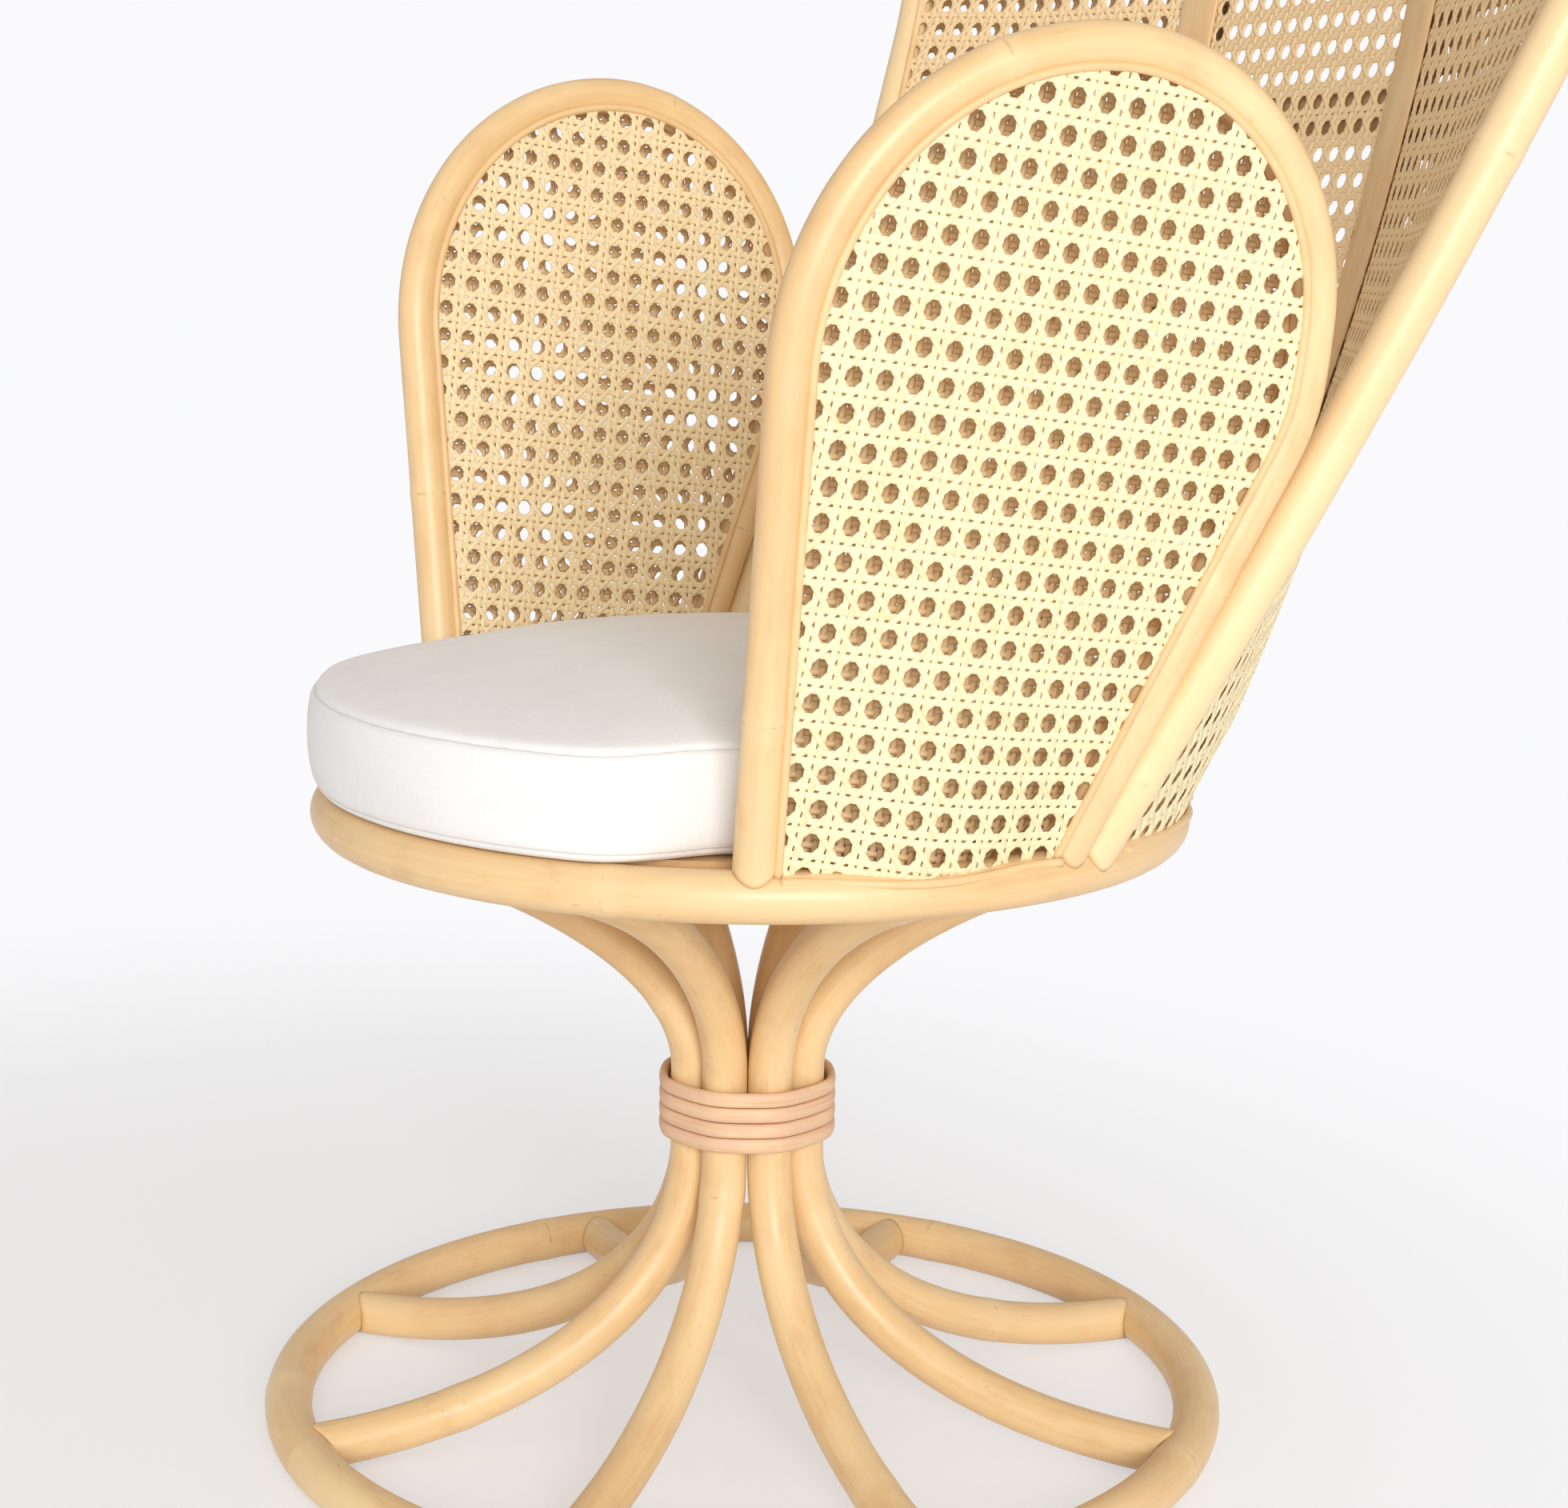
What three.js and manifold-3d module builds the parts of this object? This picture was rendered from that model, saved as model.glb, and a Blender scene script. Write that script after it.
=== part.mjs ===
// Peacock chair of bent poles and cane: a pedestal of bound legs between two rings, two petal-shaped
// arms and a tall flared back. Millimetres, +Z up, the sitter faces -Y and the floor is at zero.
import * as THREE from 'three';
import { mergeVertices } from 'three/addons/utils/BufferGeometryUtils.js';
import Module from 'manifold-3d';

const wasm = await Module();
wasm.setup();

// Driving dimensions. Pole sizes are radii, angles are degrees round the chair from the front.
const FIT = 0.3;
const SEAT_RADIUS = 256;
const SEAT_HEIGHT = 395;
const FLOOR_RADIUS = 290;
const RING_POLE = 15;
const LEG_POLE = 14;
const LEG_COUNT = 8;
const LEG_TURN = -4;
const PIN_RADIUS = 4;
const PIN_LENGTH = 44;
const PIN_IN_RING = 8;
const WAIST_LOW = 178;
const WAIST_HIGH = 229;
const LEG_DROP = 88;
const LEG_SPLAY = 165;
const LEG_RISE = 54;
const LEG_FLARE = 146;
const LEG_FLARE_DROP = 43;
const WINDING_TURNS = 4;
const WINDING_PITCH = 9.8;
const WINDING_GAP = 0.8;
const WINDING_THICKNESS = 5.6;
const WINDING_RISE = 90;
const WINDING_START = 285;
const DECK_CLEAR = 5;
const CUSHION_CLEAR = 8;
const CUSHION_OVERHANG = 14;
const CUSHION_FRONT_ANGLE = 30;
const CUSHION_SIDE_ANGLE = 64;
const CUSHION_BOX = 66;
const CUSHION_CROWN = 14;
const CUSHION_SEAM = 0.962;
const CUSHION_EDGE = 0.06;
const CUSHION_SHOULDER = 0.8;
const CUSHION_MIDDLE = 0.4;
const ARM_POLE = 12;
const ARM_FRONT_ANGLE = 63.5;
const ARM_REAR_ANGLE = 104.2;
const ARM_LEAN = 8.4;
const ARM_HEIGHT = 447;
const ARM_TOP_SHIFT = 72;
const ARM_FRONT_STRAIGHT = 280;
const ARM_REACH = 210;
const ARM_REACH_HEIGHT = 305;
const ARM_REAR_LEAN = 25;
const ARM_REAR_HEIGHT = 202;
const ARM_CANE_OFFSET = 5;
const ARCH_POLE = 14;
const ARCH_FOOT_ANGLE = 110.9;
const ARCH_SHOULDER = 495;
const ARCH_SPREAD = 119;
const ARCH_LEAN = 226;
const ARCH_BOW = 37;
const ARCH_REACH = 376;
const ARCH_REACH_HEIGHT = 575;
const ARCH_HEIGHT = 790;
const CREASE_X = 119;
const CREASE_LEAN = 262;
const CREASE_BOW = 86;
const RIB_POLE = 8;
const STRIP_WIDTH = 16;
const STRIP_THICKNESS = 9;
const BRACE_HEIGHT = 425;
const CANE = 2;
const CANE_SWELL_FADE = 260;
const BEAD = 2.5;
const EDGE_CLEAR = 1.2;

// How finely the curves are cut into facets.
const RING_SIDES = 10;
const RING_STEPS = 40;
const POLE_SIDES = 8;
const LEG_STEPS = 18;
const ARM_STEPS = 30;
const ARCH_STEPS = 44;
const BEAD_SIDES = 5;
const RIB_STEPS = 10;
const WINDING_STEPS = 24;
const WINDING_SIDES = 6;
const CUSHION_STEPS = 5;
const CANE_COLUMNS = 6;
const CANE_ROWS = 10;
const MESH_BAR = 0.2;
const CENTRE_COLUMNS = 7;
const CENTRE_ROWS = 10;
const SIDE_COLUMNS = 5;
const SIDE_ROWS = 10;
const BEAD_STEPS = 36;
const SILL_STEPS = 8;
const SPAN_STEPS = 1;
const SLOPE_STEP = 1;
const TRACE_STEPS = 240;

// A cubic curve whose handles are this share of its box is a quarter of an ellipse.
const QUARTER = 4 / 3 * (Math.SQRT2 - 1);
const RIGHT_ANGLE = 90;
const UP = new THREE.Vector3(0, 0, 1);
const turn = THREE.MathUtils.degToRad;
const smooth = THREE.MathUtils.smoothstep;
const mix = THREE.MathUtils.lerp;

const RATTAN = { color: 0xd9b07a, roughness: 0.5 };
const CANE_LOOK = { color: 0xe9d9a4, roughness: 0.6 };
const BINDING_LOOK = { color: 0xd8b394, roughness: 0.6 };
const CLOTH = { color: 0xf4f2f0, roughness: 0.9 };
const PLY = { color: 0xcaa877, roughness: 0.7 };

const FLOOR_HEIGHT = RING_POLE * Math.cos(Math.PI / RING_SIDES);
const SEAT_TOP = SEAT_HEIGHT + RING_POLE * Math.cos(Math.PI / RING_SIDES);
const WAIST_RADIUS = (LEG_POLE + FIT / 2) / Math.sin(Math.PI / LEG_COUNT);
const DECK_RADIUS = SEAT_RADIUS - RING_POLE - DECK_CLEAR;
const CUSHION_RADIUS = SEAT_RADIUS - ARM_POLE - CUSHION_CLEAR;
const CUSHION_FRONT = SEAT_RADIUS + CUSHION_OVERHANG;

// A point on the chair given its angle from the front, its distance from the axis and its height.
function around(angle, radius, height) {
  return new THREE.Vector3(radius * Math.sin(turn(angle)), -radius * Math.cos(turn(angle)), height);
}

function signedVolume(geometry) {
  const place = geometry.getAttribute('position');
  const index = geometry.getIndex();
  const [a, b, c] = [new THREE.Vector3(), new THREE.Vector3(), new THREE.Vector3()];
  let sum = 0;
  for (let k = 0; k < index.count; k += 3) {
    a.fromBufferAttribute(place, index.getX(k));
    b.fromBufferAttribute(place, index.getX(k + 1));
    c.fromBufferAttribute(place, index.getX(k + 2));
    sum += a.dot(b.cross(c)) / 6;
  }
  return sum;
}

// Joins equal corners and turns the faces outward.
function solid(geometry) {
  const bare = new THREE.BufferGeometry();
  bare.setAttribute('position', geometry.getAttribute('position'));
  bare.setIndex(geometry.getIndex());
  const joined = mergeVertices(bare);
  if (signedVolume(joined) < 0) {
    const turned = Array.from(joined.getIndex().array);
    joined.setIndex(turned.reverse());
  }
  joined.computeVertexNormals();
  return joined;
}

function surface(positions, index) {
  const geometry = new THREE.BufferGeometry();
  geometry.setAttribute('position', new THREE.Float32BufferAttribute(positions, 3));
  geometry.setIndex(index);
  return solid(geometry);
}

function toManifold(geometry) {
  const vertProperties = new Float32Array(geometry.getAttribute('position').array);
  const triVerts = new Uint32Array(geometry.getIndex().array);
  return new wasm.Manifold(new wasm.Mesh({ numProp: 3, vertProperties, triVerts }));
}

// Takes every tool away from a body.
function cut(body, tools) {
  const rest = tools.reduce((left, tool) => left.subtract(toManifold(tool)), toManifold(body));
  const mesh = rest.getMesh();
  return surface(Array.from(mesh.vertProperties), Array.from(mesh.triVerts));
}

// The corners of an oval section, as distances across and up; shift turns it by a share of a side.
function oval(sides, across, up, shift = 0) {
  return Array.from({ length: sides }, (_, k) => {
    const angle = (k + shift) / sides * 2 * Math.PI;
    return [across * Math.cos(angle), up * Math.sin(angle)];
  });
}

// Carries a section along a list of frames and closes both ends.
function sweep(frames, section) {
  const count = section.length;
  const positions = [];
  const index = [];
  for (const { origin, across, up } of frames) {
    for (const [a, b] of section) {
      const corner = origin.clone().addScaledVector(across, a).addScaledVector(up, b);
      positions.push(...corner.toArray());
    }
  }
  const last = (frames.length - 1) * count;
  for (let k = 0; k < count; k += 1) {
    const next = (k + 1) % count;
    for (let base = 0; base < last; base += count) {
      index.push(base + k, base + next, base + count + next);
      index.push(base + k, base + count + next, base + count + k);
    }
    index.push(last + count, next, k);
    index.push(last + count + 1, last + k, last + next);
  }
  positions.push(...frames[0].origin.toArray(), ...frames.at(-1).origin.toArray());
  return surface(positions, index);
}

function alongCurve(curve, steps) {
  const { normals, binormals } = curve.computeFrenetFrames(steps, false);
  const points = curve.getSpacedPoints(steps);
  return points.map((origin, k) => ({ origin, across: normals[k], up: binormals[k] }));
}

// A round pole along a curve.
function pole(curve, radius, steps, sides = POLE_SIDES) {
  return sweep(alongCurve(curve, steps), oval(sides, radius, radius));
}

function poleThrough(points, radius, steps, sides = POLE_SIDES) {
  return pole(new THREE.CatmullRomCurve3(points), radius, steps, sides);
}

// A closed sheet: pointAt gives each face from shares across and up and the face's side. Its columns
// stand closer near the sides.
function sheet(columns, rows, pointAt) {
  const across = columns + 1;
  const layer = across * (rows + 1);
  const positions = [];
  const index = [];
  for (const face of [-1, 1]) {
    for (let j = 0; j <= rows; j += 1) {
      for (let i = 0; i <= columns; i += 1) {
        positions.push(...pointAt((1 - Math.cos(i / columns * Math.PI)) / 2, j / rows, face).toArray());
      }
    }
  }
  const quad = (a, b, c, d) => index.push(a, b, c, a, c, d);
  const rim = [];
  for (let i = 0; i < columns; i += 1) rim.push(i);
  for (let j = 0; j < rows; j += 1) rim.push(j * across + columns);
  for (let i = columns; i > 0; i -= 1) rim.push(rows * across + i);
  for (let j = rows; j > 0; j -= 1) rim.push(j * across);
  for (let j = 0; j < rows; j += 1) {
    for (let i = 0; i < columns; i += 1) {
      const a = j * across + i;
      const b = a + layer;
      quad(a, a + 1, a + 1 + across, a + across);
      quad(b, b + across, b + across + 1, b + 1);
    }
  }
  rim.forEach((p, k) => {
    const q = rim[(k + 1) % rim.length];
    quad(q, p, p + layer, q + layer);
  });
  return surface(positions, index);
}

// A closed sheet of open mesh: every cell of its grid has an opening with a bar of the same share on
// each side of it.
function openSheet(columns, rows, pointAt) {
  const across = columns + 1;
  const layer = across * (rows + 1) + 4 * columns * rows;
  const round = [[0, 0], [1, 0], [1, 1], [0, 1]];
  const inside = (step) => mix(MESH_BAR, 1 - MESH_BAR, step);
  const positions = [];
  const index = [];
  for (const face of [-1, 1]) {
    for (let j = 0; j <= rows; j += 1) {
      for (let i = 0; i <= columns; i += 1) {
        positions.push(...pointAt(i / columns, j / rows, face).toArray());
      }
    }
    for (let j = 0; j < rows; j += 1) {
      for (let i = 0; i < columns; i += 1) {
        for (const [a, b] of round) {
          positions.push(...pointAt((i + inside(a)) / columns, (j + inside(b)) / rows, face).toArray());
        }
      }
    }
  }
  const quad = (a, b, c, d) => index.push(a, b, c, a, c, d);
  for (let j = 0; j < rows; j += 1) {
    for (let i = 0; i < columns; i += 1) {
      const outer = round.map(([a, b]) => (j + b) * across + i + a);
      const inner = round.map((_, k) => across * (rows + 1) + 4 * (j * columns + i) + k);
      const onRim = [j === 0, i === columns - 1, j === rows - 1, i === 0];
      round.forEach((_, k) => {
        const next = (k + 1) % round.length;
        const [a, b, c, d] = [outer[k], outer[next], inner[next], inner[k]];
        quad(a, b, c, d);
        quad(b + layer, a + layer, d + layer, c + layer);
        quad(d, c, c + layer, d + layer);
        if (onRim[k]) quad(b, a, a + layer, b + layer);
      });
    }
  }
  return surface(positions, index);
}

// Turns a profile of distances and heights round the chair's axis.
function revolve(profile, steps) {
  return solid(new THREE.LatheGeometry(profile, steps).rotateX(Math.PI / 2));
}

function ring(radius, height, thickness) {
  const profile = oval(RING_SIDES, thickness, thickness)
    .map(([out, up]) => new THREE.Vector2(radius + out, height + up));
  return revolve([...profile, profile[0]], RING_STEPS);
}

// A mirror of a body through the chair's middle plane.
function mirrored(geometry) {
  return solid(geometry.clone().scale(-1, 1, 1));
}

// Where a polyline of rising points crosses a level; axis names the coordinate that rises.
function crossing(points, axis, other, level) {
  const k = points.findIndex((point) => point[axis] >= level);
  if (k <= 0) return k === 0 ? points[0][other] : points.at(-1)[other];
  const [a, b] = [points[k - 1], points[k]];
  return mix(a[other], b[other], (level - a[axis]) / (b[axis] - a[axis]));
}

// A flat path moved inward, to the right of its direction of travel.
function inset(path, distance, steps) {
  return Array.from({ length: steps + 1 }, (_, k) => {
    const along = path.getTangentAt(k / steps);
    const inward = new THREE.Vector2(along.y, -along.x);
    return path.getPointAt(k / steps).addScaledVector(inward, distance);
  });
}

const chair = new THREE.Group();
chair.name = 'peacock_chair';

function add(name, geometry, look) {
  const mesh = new THREE.Mesh(geometry, new THREE.MeshStandardMaterial(look));
  mesh.name = name;
  chair.add(mesh);
}

// Pedestal: the rings, the legs between them and the pins inside their joints.
const seatRing = ring(SEAT_RADIUS, SEAT_HEIGHT, RING_POLE);
const floorRing = ring(FLOOR_RADIUS, FLOOR_HEIGHT, RING_POLE);
const seatRingCut = ring(SEAT_RADIUS, SEAT_HEIGHT, RING_POLE + FIT);
const floorRingCut = ring(FLOOR_RADIUS, FLOOR_HEIGHT, RING_POLE + FIT);

function legCurve(angle) {
  const at = (radius, height) => around(angle, radius, height);
  const curve = new THREE.CurvePath();
  curve.add(new THREE.CubicBezierCurve3(
    at(FLOOR_RADIUS, FLOOR_HEIGHT),
    at(FLOOR_RADIUS - LEG_SPLAY, FLOOR_HEIGHT),
    at(WAIST_RADIUS, WAIST_LOW - LEG_DROP),
    at(WAIST_RADIUS, WAIST_LOW),
  ));
  curve.add(new THREE.LineCurve3(at(WAIST_RADIUS, WAIST_LOW), at(WAIST_RADIUS, WAIST_HIGH)));
  curve.add(new THREE.CubicBezierCurve3(
    at(WAIST_RADIUS, WAIST_HIGH),
    at(WAIST_RADIUS, WAIST_HIGH + LEG_RISE),
    at(SEAT_RADIUS - LEG_FLARE, SEAT_HEIGHT - LEG_FLARE_DROP),
    at(SEAT_RADIUS, SEAT_HEIGHT),
  ));
  return curve;
}

// A pin lying along a leg's end, reaching from the ring into the leg.
function pin(curve, share, spare) {
  const outward = curve.getTangentAt(share).multiplyScalar(share > 0 ? 1 : -1);
  const middle = curve.getPointAt(share).addScaledVector(outward, PIN_IN_RING - PIN_LENGTH / 2);
  const radius = PIN_RADIUS + spare;
  const body = new THREE.CylinderGeometry(radius, radius, PIN_LENGTH + 2 * spare, WINDING_SIDES);
  body.applyQuaternion(new THREE.Quaternion().setFromUnitVectors(new THREE.Vector3(0, 1, 0), outward));
  return solid(body.translate(...middle.toArray()));
}

const legAngles = Array.from({ length: LEG_COUNT }, (_, k) => LEG_TURN + k * 360 / LEG_COUNT);
const legCurves = legAngles.map(legCurve);
const floorPinCuts = legCurves.map((curve) => pin(curve, 0, FIT));
const seatPinCuts = legCurves.map((curve) => pin(curve, 1, FIT));

add('floor_ring', cut(floorRing, floorPinCuts), RATTAN);
add('seat_ring', cut(seatRing, seatPinCuts), RATTAN);
legCurves.forEach((curve, k) => {
  const body = pole(curve, LEG_POLE, LEG_STEPS);
  add(`leg_${k + 1}`, cut(body, [floorRingCut, seatRingCut, floorPinCuts[k], seatPinCuts[k]]), RATTAN);
  add(`leg_${k + 1}_floor_pin`, pin(curve, 0, 0), PLY);
  add(`leg_${k + 1}_seat_pin`, pin(curve, 1, 0), PLY);
});

// Waist binding: one flat strip wound round the bound legs. Each turn lies level and climbs to the
// next within the same part of the round, and a straight tail runs on at each end.
const windingRadius = WAIST_RADIUS + LEG_POLE + 2 * FIT + WINDING_THICKNESS / 2;
const windingHeight = WINDING_PITCH - WINDING_GAP;
const windingLow = (WAIST_LOW + WAIST_HIGH - (WINDING_TURNS - 1) * WINDING_PITCH) / 2;
const windingStep = 360 / WINDING_STEPS;
const windingCount = WINDING_TURNS * WINDING_STEPS - WINDING_RISE / windingStep - 2;
const windingFrames = Array.from({ length: windingCount + 1 }, (_, k) => {
  const along = (k + 1) * windingStep;
  const level = Math.floor(along / 360) + smooth(along % 360, 360 - WINDING_RISE, 360);
  const angle = LEG_TURN + WINDING_START + along;
  const origin = around(angle, windingRadius, windingLow + level * WINDING_PITCH);
  return { origin, across: around(angle, 1, 0), up: UP };
});
function tail({ origin, across, up }, direction) {
  const along = new THREE.Vector3().crossVectors(up, across).multiplyScalar(direction * windingHeight);
  return { origin: origin.clone().add(along), across, up };
}
const windingSection = oval(WINDING_SIDES, WINDING_THICKNESS / 2 / Math.cos(Math.PI / WINDING_SIDES),
  windingHeight / 2, 0.5);
add('waist_binding', sweep([
  tail(windingFrames[0], -1),
  ...windingFrames,
  tail(windingFrames.at(-1), 1),
], windingSection), BINDING_LOOK);

// The least gap between one turn and the next, measured between the strip's corners.
const turnCorners = windingFrames.map(({ origin, across, up }) => windingSection
  .map(([a, b]) => origin.clone().addScaledVector(across, a).addScaledVector(up, b)));
let leastGap = Infinity;
for (let k = 0; k + WINDING_STEPS < turnCorners.length; k += 1) {
  for (const here of turnCorners[k]) {
    const gaps = turnCorners[k + WINDING_STEPS].map((above) => here.distanceTo(above));
    leastGap = Math.min(leastGap, ...gaps);
  }
}
console.log(`least gap between turns of the binding ${leastGap.toFixed(2)} mm`);

// Seat: a deck on the leg tops and a boxed cushion that swells out over the ring at the front.
function legTop(share) {
  const { x, y, z } = legCurves[0].getPointAt(share);
  const along = legCurves[0].getTangentAt(share);
  return {
    radius: Math.hypot(x, y) - along.z * LEG_POLE,
    height: z + Math.hypot(along.x, along.y) * LEG_POLE,
  };
}
const legTops = Array.from({ length: LEG_STEPS / 2 + 1 }, (_, k) => legTop((1 + 2 * k / LEG_STEPS) / 2));
const deckLow = crossing(legTops, 'radius', 'height', DECK_RADIUS) + FIT;
add('seat_deck', revolve([
  new THREE.Vector2(0, deckLow),
  new THREE.Vector2(DECK_RADIUS, deckLow),
  new THREE.Vector2(DECK_RADIUS, SEAT_TOP),
  new THREE.Vector2(0, SEAT_TOP),
], RING_STEPS), PLY);

function cushionReach(angle) {
  const sideways = smooth(Math.abs(angle), CUSHION_FRONT_ANGLE, CUSHION_SIDE_ANGLE);
  return mix(CUSHION_FRONT, CUSHION_RADIUS, sideways);
}
const cushionTop = CUSHION_BOX + CUSHION_CROWN;
const cushionProfile = new THREE.Path()
  .moveTo(0, 0)
  .lineTo(CUSHION_SEAM - CUSHION_EDGE, 0)
  .quadraticCurveTo(CUSHION_SEAM, 0, CUSHION_SEAM, CUSHION_BOX * CUSHION_EDGE)
  .quadraticCurveTo(2 - CUSHION_SEAM, CUSHION_BOX / 2, CUSHION_SEAM, CUSHION_BOX)
  .bezierCurveTo(
    CUSHION_SEAM * CUSHION_SHOULDER, cushionTop,
    CUSHION_SEAM * CUSHION_MIDDLE, cushionTop,
    0, cushionTop);
const cushionPoints = cushionProfile.getPoints(CUSHION_STEPS);
const cushion = new THREE.LatheGeometry(cushionPoints, RING_STEPS).rotateX(Math.PI / 2);
const cushionPlace = cushion.getAttribute('position');
for (let k = 0; k < cushionPlace.count; k += 1) {
  const [x, y] = [cushionPlace.getX(k), cushionPlace.getY(k)];
  const reach = cushionReach(THREE.MathUtils.radToDeg(Math.atan2(x, -y)));
  cushionPlace.setXYZ(k, x * reach, y * reach, SEAT_TOP + FIT + cushionPlace.getZ(k));
}
add('seat_cushion', solid(cushion), CLOTH);

// Arms: a flat petal of bent pole leaning outward, filled with two layers of cane that swell at the
// bottom to follow the ring. Distances u run rearward from the middle of the feet, v up the petal and
// w outward.
const armMiddle = (ARM_FRONT_ANGLE + ARM_REAR_ANGLE) / 2;
const armHalf = turn(ARM_REAR_ANGLE - ARM_FRONT_ANGLE) / 2;
const armFoot = SEAT_RADIUS * Math.sin(armHalf);
const armSag = SEAT_RADIUS * (1 - Math.cos(armHalf));
const armRearward = around(armMiddle + RIGHT_ANGLE, 1, 0);
const armUpward = around(armMiddle, Math.sin(turn(ARM_LEAN)), Math.cos(turn(ARM_LEAN)));
const armOutward = new THREE.Vector3().crossVectors(armRearward, armUpward);
const armOrigin = around(armMiddle, SEAT_RADIUS - armSag, SEAT_HEIGHT);

function armPoint(u, v, w) {
  return armOrigin.clone().addScaledVector(armRearward, u).addScaledVector(armUpward, v)
    .addScaledVector(armOutward, w);
}

const armRearSlope = Math.tan(turn(ARM_REAR_LEAN));
const armRear = new THREE.Vector2(armFoot + armRearSlope * ARM_REAR_HEIGHT, ARM_REAR_HEIGHT);
const armRearPull = (ARM_REACH_HEIGHT - ARM_REAR_HEIGHT) / 2;
const armPath = new THREE.Path()
  .moveTo(-armFoot, 0)
  .lineTo(-armFoot, ARM_FRONT_STRAIGHT)
  .bezierCurveTo(
    -armFoot, mix(ARM_FRONT_STRAIGHT, ARM_HEIGHT, QUARTER),
    mix(ARM_TOP_SHIFT, -armFoot, QUARTER), ARM_HEIGHT,
    ARM_TOP_SHIFT, ARM_HEIGHT)
  .bezierCurveTo(
    mix(ARM_TOP_SHIFT, ARM_REACH, QUARTER), ARM_HEIGHT,
    ARM_REACH, mix(ARM_REACH_HEIGHT, ARM_HEIGHT, QUARTER),
    ARM_REACH, ARM_REACH_HEIGHT)
  .bezierCurveTo(
    ARM_REACH, ARM_REACH_HEIGHT - armRearPull,
    armRear.x + armRearSlope * armRearPull, armRear.y + armRearPull,
    armRear.x, armRear.y)
  .lineTo(armFoot, 0);

const beadFloor = RING_POLE + 2 * BEAD;
const armTrack = armPath.getSpacedPoints(ARM_STEPS).map(({ x, y }) => armPoint(x, y, 0));
const armFrame = cut(poleThrough(armTrack, ARM_POLE, ARM_STEPS), [seatRingCut]);

// The cane's edge just inside the pole, as a front and a rear branch that both rise.
const armCaneInset = Math.sqrt(ARM_POLE ** 2 - ARM_CANE_OFFSET ** 2) + EDGE_CLEAR;
const armEdge = inset(armPath, armCaneInset, TRACE_STEPS);
const armPeak = armEdge.reduce((best, point, k) => (point.y > armEdge[best].y ? k : best), 0);
const armEdgeFront = armEdge.slice(0, armPeak + 1);
const armEdgeRear = armEdge.slice(armPeak).reverse();
const armCaneLow = RING_POLE + (armSag + ARM_CANE_OFFSET) * Math.sin(turn(ARM_LEAN)) + 2 * FIT;
const armCaneHigh = armEdge[armPeak].y - FIT;

function swell(share, height) {
  const fade = Math.max(0, 1 - height / CANE_SWELL_FADE);
  return (1 - share * share) ** 2 * fade * fade;
}

function armCanePoint(share, v, w) {
  const front = crossing(armEdgeFront, 'y', 'x', v);
  const rear = crossing(armEdgeRear, 'y', 'x', v);
  const bulge = armSag * swell(2 * share - 1, v - RING_POLE);
  return armPoint(mix(front, rear, share), v, bulge + w);
}

function armCane(side) {
  return sheet(CANE_COLUMNS, CANE_ROWS, (share, rise, face) => armCanePoint(
    share,
    mix(armCaneLow, armCaneHigh, Math.sin(rise * Math.PI / 2)),
    side * ARM_CANE_OFFSET + face * CANE / 2,
  ));
}

// Trim rods that hold the cane: one inside and one outside each petal, and one along the ring.
const beadOffset = CANE / 2 + 3 * FIT + BEAD;
const armBeadOffset = ARM_CANE_OFFSET + beadOffset;
const armBeadInset = Math.sqrt((ARM_POLE + EDGE_CLEAR + BEAD) ** 2 - armBeadOffset ** 2);
function armBead(side) {
  const track = inset(armPath, armBeadInset, ARM_STEPS).filter(({ y }) => y > beadFloor + BEAD);
  const points = track.map(({ x, y }) => armPoint(x, y, side * armBeadOffset));
  return poleThrough(points, BEAD, BEAD_STEPS, BEAD_SIDES);
}

function armSill() {
  const clear = 2 * (BEAD + 2 * FIT) / (2 * armFoot - 2 * ARM_POLE);
  const points = Array.from({ length: SILL_STEPS + 1 }, (_, k) => armCanePoint(
    mix(clear, 1 - clear, k / SILL_STEPS), armCaneLow + BEAD + FIT, armBeadOffset + FIT));
  return poleThrough(points, BEAD, SILL_STEPS, BEAD_SIDES);
}

const armPieces = [
  ['arm_frame', armFrame, RATTAN],
  ['arm_cane_outer', armCane(1), CANE_LOOK],
  ['arm_cane_inner', armCane(-1), CANE_LOOK],
  ['arm_bead_outer', armBead(1), RATTAN],
  ['arm_bead_inner', armBead(-1), RATTAN],
  ['arm_sill', armSill(), RATTAN],
];
for (const [name, body, look] of armPieces) {
  add(`left_${name}`, body, look);
  add(`right_${name}`, mirrored(body), look);
}

// Back: the mid surface of the cane, flat between two upright creases and running out from them to
// the arch, swelling at the bottom to follow the ring. Heights h are measured from the ring's centre.
const archFoot = around(ARCH_FOOT_ANGLE, SEAT_RADIUS, 0);
const creaseFootY = Math.sqrt(SEAT_RADIUS ** 2 - CREASE_X ** 2);

function archSide(h) {
  const t = h / ARCH_SHOULDER;
  return { x: archFoot.x + ARCH_SPREAD * t, y: archFoot.y + ARCH_LEAN * t + ARCH_BOW * t * (1 - t) };
}

function creaseDepth(h) {
  const t = h / ARCH_SHOULDER;
  return creaseFootY + CREASE_LEAN * t - CREASE_BOW * t * t;
}

function backDepth(x, h) {
  const creaseY = creaseDepth(h);
  const distance = Math.abs(x);
  const level = h - RING_POLE;
  if (distance <= CREASE_X) {
    return creaseY + (SEAT_RADIUS - creaseFootY) * swell(distance / CREASE_X, level);
  }
  const edge = archSide(h);
  const share = (distance - CREASE_X) / (edge.x - CREASE_X);
  const chordMiddle = new THREE.Vector2(CREASE_X + archFoot.x, creaseFootY + archFoot.y).length() / 2;
  const sag = (SEAT_RADIUS - chordMiddle) * SEAT_RADIUS / creaseFootY;
  return mix(creaseY, edge.y, share) + sag * swell(Math.min(1, 2 * share - 1), level);
}

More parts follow.
